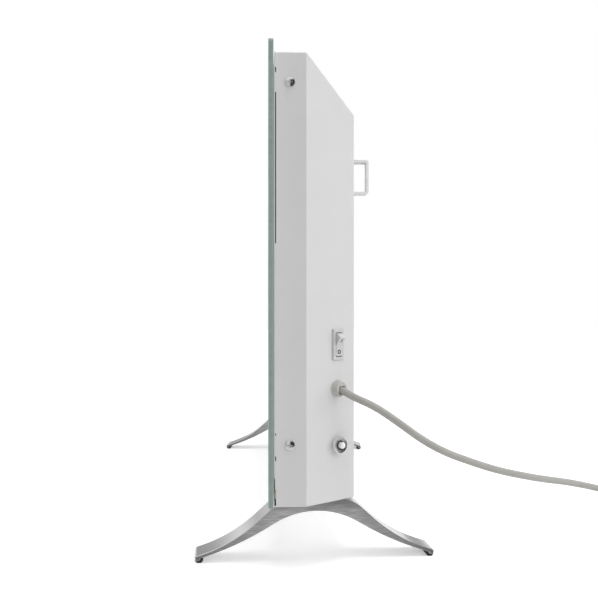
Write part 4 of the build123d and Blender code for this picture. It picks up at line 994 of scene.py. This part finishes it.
def makeResetDish(dishEdge, place):
    bm = bmesh.new()
    bore, low, edge = resetSet["bore"], resetSet["dishLow"], resetSet["edgeRound"]
    outline = [(bore, 0), (dishEdge, 0)]
    for n in range(resetSet["dishSteps"] + 1):  # falls in a soft curve towards the bore
        share = n / resetSet["dishSteps"]
        fall = (resetSet["ringHeight"] - edge - low) * (1 - share) ** resetSet["dishCurve"]
        outline.append((dishEdge + (bore + edge - dishEdge) * share, low + fall))
    outline += [(bore, low - resetSet["dishLip"]), (bore, 0)]
    spinProfile(bm, outline, resetSet["ringSteps"])
    # the darker chrome of the dish is painted reflection
    metal = makeFinish("dish_painted_reflection", resetSet["dishReflectionLook"])
    return finishPiece(
        bm, "resetRingDish", "nut_chrome", replaced=("reset_bezel",), matrix=place, material=metal
    )


def makeResetButton():
    bm = bmesh.new()
    radius, low, edge = resetSet["buttonRadius"], resetSet["buttonLow"], resetSet["edgeRound"]
    top, dome, steps = resetSet["buttonTop"], resetSet["dome"], resetSet["domeSteps"]
    outline = [(0.0, low), (radius - edge, low), (radius, low + edge), (radius, top - dome)]
    for n in range(1, steps):
        angle = pi / 2 * n / steps
        outline.append((radius * cos(angle), top - dome + dome * sin(angle)))
    outline.append((0.0, top))
    spinProfile(bm, outline, resetSet["buttonSteps"])
    return finishPiece(
        bm,
        "resetDome",
        "button_plastic",
        body="reset_button",
        replaced=("reset_button",),
        matrix=wallMatrix(controls["reset"]),
    )


makeResetNut()
dishEdge = resetSet["ringRadius"] - resetSet["rim"] - resetSet["edgeRound"]
ringPlace = wallMatrix(controls["reset"], resetSet["nutHeight"])
makeResetRim(dishEdge, ringPlace)
makeResetDish(dishEdge, ringPlace)
makeResetButton()
print("overload button made")

# Marks on the rocker: bar on the I half, ring on the O half
rockerMark = {
    "turn": radians(17.5),
    "pivotIn": 0.0012,
    "faceRise": 0.0034,
    "proud": 0.00012,
    "barWidth": 0.0011,
    "barHeight": 0.0038,
    "ringRadius": 0.0021,
    "ringWall": 0.0010,
    "ringSteps": 40,
    "along": 0.0060,
    "aside": 0.0003,
}


def halfMatrix(half):
    # a frame on one half of the key: half is 1 for the upper, -1 for the lower
    pivot = onWall(controls["switch"], -rockerMark["pivotIn"])
    tilt = rockerMark["turn"]
    up = upward * cos(tilt) + wallOut * sin(tilt)
    out = wallOut * cos(tilt) - upward * sin(tilt)
    ridge = pivot + out * (rockerMark["faceRise"] / cos(tilt))
    along = up * cos(tilt) + out * sin(tilt) * half
    away = out * cos(tilt) - up * sin(tilt) * half
    centre = ridge + along * half * rockerMark["along"] + wallRun * rockerMark["aside"]
    turn = Matrix((wallRun, along, away)).transposed().to_4x4()
    return Matrix.Translation(centre) @ turn


def makeMarks():
    bm = bmesh.new()
    proud = rockerMark["proud"]
    size = Matrix.Diagonal((rockerMark["barWidth"], rockerMark["barHeight"], proud * 2, 1))
    bmesh.ops.create_cube(bm, size=1.0, matrix=halfMatrix(1) @ size)
    ring = bmesh.new()
    outer = rockerMark["ringRadius"]
    inner = outer - rockerMark["ringWall"]
    outline = [(inner, -proud), (outer, -proud), (outer, proud), (inner, proud), (inner, -proud)]
    spinProfile(ring, outline, rockerMark["ringSteps"])
    bmesh.ops.transform(ring, matrix=halfMatrix(-1), verts=ring.verts)
    pourInto(bm, ring)
    return finishPiece(bm, "rockerMarks", "dark_plastic", body="rocker")


makeMarks()
print("rocker marks made")

# Floor, light and background; left is -Y and right is +Y, as the camera sees them
studio = {
    "floor": (0.80, 0.80, 0.80),
    "floorHalf": 9.0,
    "floorGlow": (0.395, 0.58),
    "glowFrom": 0.6,
    "glowTo": 2.0,
    "leftGlow": {"end": -0.35, "start": 0.10, "gain": 0.05},
    "glossShare": 0.20,
    "ambient": {"left": 0.17, "right": 1.13},
    "front": {
        "bright": 0.80,
        "dark": 0.05,
        "turnFrom": -0.12,
        "turnTo": 0.15,
        "edgeFrom": -0.95,
        "edgeTo": -0.65,
    },
    "frontFloor": {
        "bright": 0.65,
        "dark": 0.08,
        "turnFrom": -0.10,
        "turnTo": 0.15,
        "startsAt": 0.45,
        "fullAt": 0.60,
    },
    "back": {
        "left": 0.40,
        "right": 0.42,
        "turnFrom": -0.3,
        "turnTo": 0.3,
        "glowLeft": 0.54,
        "glowRight": 0.50,
        "glowHeight": 0.13,
        "glowReach": 0.07,
    },
    "overhead": {"low": 0.62, "high": 0.88, "glow": 1.0},
    "frontFrom": -0.1,
    "frontTo": 0.3,
    "lamps": {
        "key": {"place": (0.9, 2.6, 1.3), "size": 2.8, "power": 26.5},
        "fill": {"place": (-0.2, -2.4, 1.5), "size": 2.2, "power": 25.0},
        "top": {"place": (0.55, 0.1, 2.1), "size": 0.7, "power": 13.0},
    },
    "aim": (0.3, 0, 0.25),
}


def backgroundRays(tree):
    # 1 for rays that show the background: camera, glossy and transmission
    paths = tree.nodes.new("ShaderNodeLightPath").outputs
    both = calculate(tree, "MAXIMUM", paths["Is Camera Ray"], paths["Is Glossy Ray"])
    return calculate(tree, "MAXIMUM", both, paths["Is Transmission Ray"])


def glossyRays(tree):
    return tree.nodes.new("ShaderNodeLightPath").outputs["Is Glossy Ray"]


def floorGlow(tree, coords):
    # grows with the distance from the heater, and a little to the left
    away = tree.nodes.new("ShaderNodeVectorMath")
    away.operation = "LENGTH"
    tree.links.new(coords, away.inputs[0])
    far = spread(tree, away.outputs["Value"], studio["glowFrom"], studio["glowTo"], *studio["floorGlow"])
    left = studio["leftGlow"]
    more = spread(tree, axesOf(tree, coords)["Y"], left["end"], left["start"], left["gain"], 0)
    return calculate(tree, "ADD", far, more)


def makeFloorFinish():
    material, tree, shader, coords = startMaterial("studioFloor")
    shader.inputs["Base Color"].default_value = (*studio["floor"], 1)
    shader.inputs["Roughness"].default_value = 1.0
    shader.inputs["Specular IOR Level"].default_value = 0.0
    # the polished feet would mirror a floor brighter than white, so gloss sees less of the glow
    glossy = glossyRays(tree)
    share = spread(tree, glossy, 0, 1, 1, studio["glossShare"])
    glow = calculate(tree, "MULTIPLY", floorGlow(tree, coords), share)
    light = tree.nodes.new("ShaderNodeEmission")
    tree.links.new(calculate(tree, "MULTIPLY", backgroundRays(tree), glow), light.inputs["Strength"])
    lit = tree.nodes.new("ShaderNodeAddShader")
    tree.links.new(shader.outputs[0], lit.inputs[0])
    tree.links.new(light.outputs[0], lit.inputs[1])
    # in front of the end wall, gloss sees the floor as light and dark as the studio above it
    front = studio["frontFloor"]
    place = axesOf(tree, coords)
    tone = spread(tree, place["Y"], front["turnFrom"], front["turnTo"], front["bright"], front["dark"])
    seen = tree.nodes.new("ShaderNodeEmission")
    tree.links.new(tone, seen.inputs["Strength"])
    ahead = spread(tree, place["X"], front["startsAt"], front["fullAt"])
    chosen = tree.nodes.new("ShaderNodeMixShader")
    tree.links.new(calculate(tree, "MULTIPLY", glossy, ahead), chosen.inputs[0])
    tree.links.new(lit.outputs[0], chosen.inputs[1])
    tree.links.new(seen.outputs[0], chosen.inputs[2])
    tree.links.new(chosen.outputs[0], tree.nodes["Material Output"].inputs["Surface"])
    return material


def makeFloor():
    bm = bmesh.new()
    bmesh.ops.create_grid(bm, x_segments=1, y_segments=1, size=studio["floorHalf"])
    mesh = bpy.data.meshes.new("studioFloor")
    bm.to_mesh(mesh)
    bm.free()
    mesh.materials.append(makeFloorFinish())
    addObject("studioFloor", mesh)


def glossTone(tree, direction):
    # what gloss meets: a bright and a dark side in front, a light band low behind, light overhead
    front, back, overhead = studio["front"], studio["back"], studio["overhead"]
    side = direction["Y"]
    before = spread(tree, side, front["turnFrom"], front["turnTo"], front["bright"], front["dark"])
    outer = spread(tree, side, front["edgeFrom"], front["edgeTo"], front["dark"], front["bright"])
    before = calculate(tree, "MINIMUM", before, outer)
    behind = spread(tree, side, back["turnFrom"], back["turnTo"], back["left"], back["right"])
    glow = spread(tree, side, back["turnFrom"], back["turnTo"], back["glowLeft"], back["glowRight"])
    offBand = calculate(tree, "SUBTRACT", direction["Z"], back["glowHeight"])
    band = spread(tree, calculate(tree, "ABSOLUTE", offBand), 0, back["glowReach"], 1, 0)
    behind = calculate(tree, "ADD", behind, calculate(tree, "MULTIPLY", band, glow))
    inFront = spread(tree, direction["X"], studio["frontFrom"], studio["frontTo"])
    around = blendValues(tree, inFront, behind, before)
    raised = spread(tree, direction["Z"], overhead["low"], overhead["high"])
    return blendValues(tree, raised, around, overhead["glow"])


def makeWorld():
    world = bpy.data.worlds.new("studioWorld")
    bpy.context.scene.world = world
    world.use_nodes = True
    tree = world.node_tree
    direction = axesOf(tree, tree.nodes.new("ShaderNodeTexCoord").outputs["Generated"])
    ambient = tree.nodes["Background"]
    ambient.inputs["Color"].default_value = (1, 1, 1, 1)
    sky = spread(tree, direction["Y"], -1, 1, studio["ambient"]["left"], studio["ambient"]["right"])
    tree.links.new(sky, ambient.inputs["Strength"])
    white = addNode(tree, "ShaderNodeBackground", Color=(1, 1, 1, 1))
    strength = blendValues(tree, glossyRays(tree), 1.0, glossTone(tree, direction))
    tree.links.new(strength, white.inputs["Strength"])
    mix = tree.nodes.new("ShaderNodeMixShader")
    tree.links.new(backgroundRays(tree), mix.inputs[0])
    tree.links.new(ambient.outputs[0], mix.inputs[1])
    tree.links.new(white.outputs[0], mix.inputs[2])
    tree.links.new(mix.outputs[0], tree.nodes["World Output"].inputs["Surface"])


def makeLamp(name, look):
    lamp = bpy.data.lights.new(name, "AREA")
    lamp.size = look["size"]
    lamp.energy = look["power"]
    lampObject = addObject(name, lamp)
    lampObject.location = look["place"]
    lampObject.visible_glossy = False  # gloss takes the studio's own light and dark sides
    aim = Vector(studio["aim"]) - Vector(look["place"])
    lampObject.rotation_euler = aim.to_track_quat("-Z", "Y").to_euler()


makeFloor()
makeWorld()
for name, look in studio["lamps"].items():
    makeLamp(name + "Lamp", look)
bpy.context.scene.view_settings.view_transform = "Standard"
print("studio set")
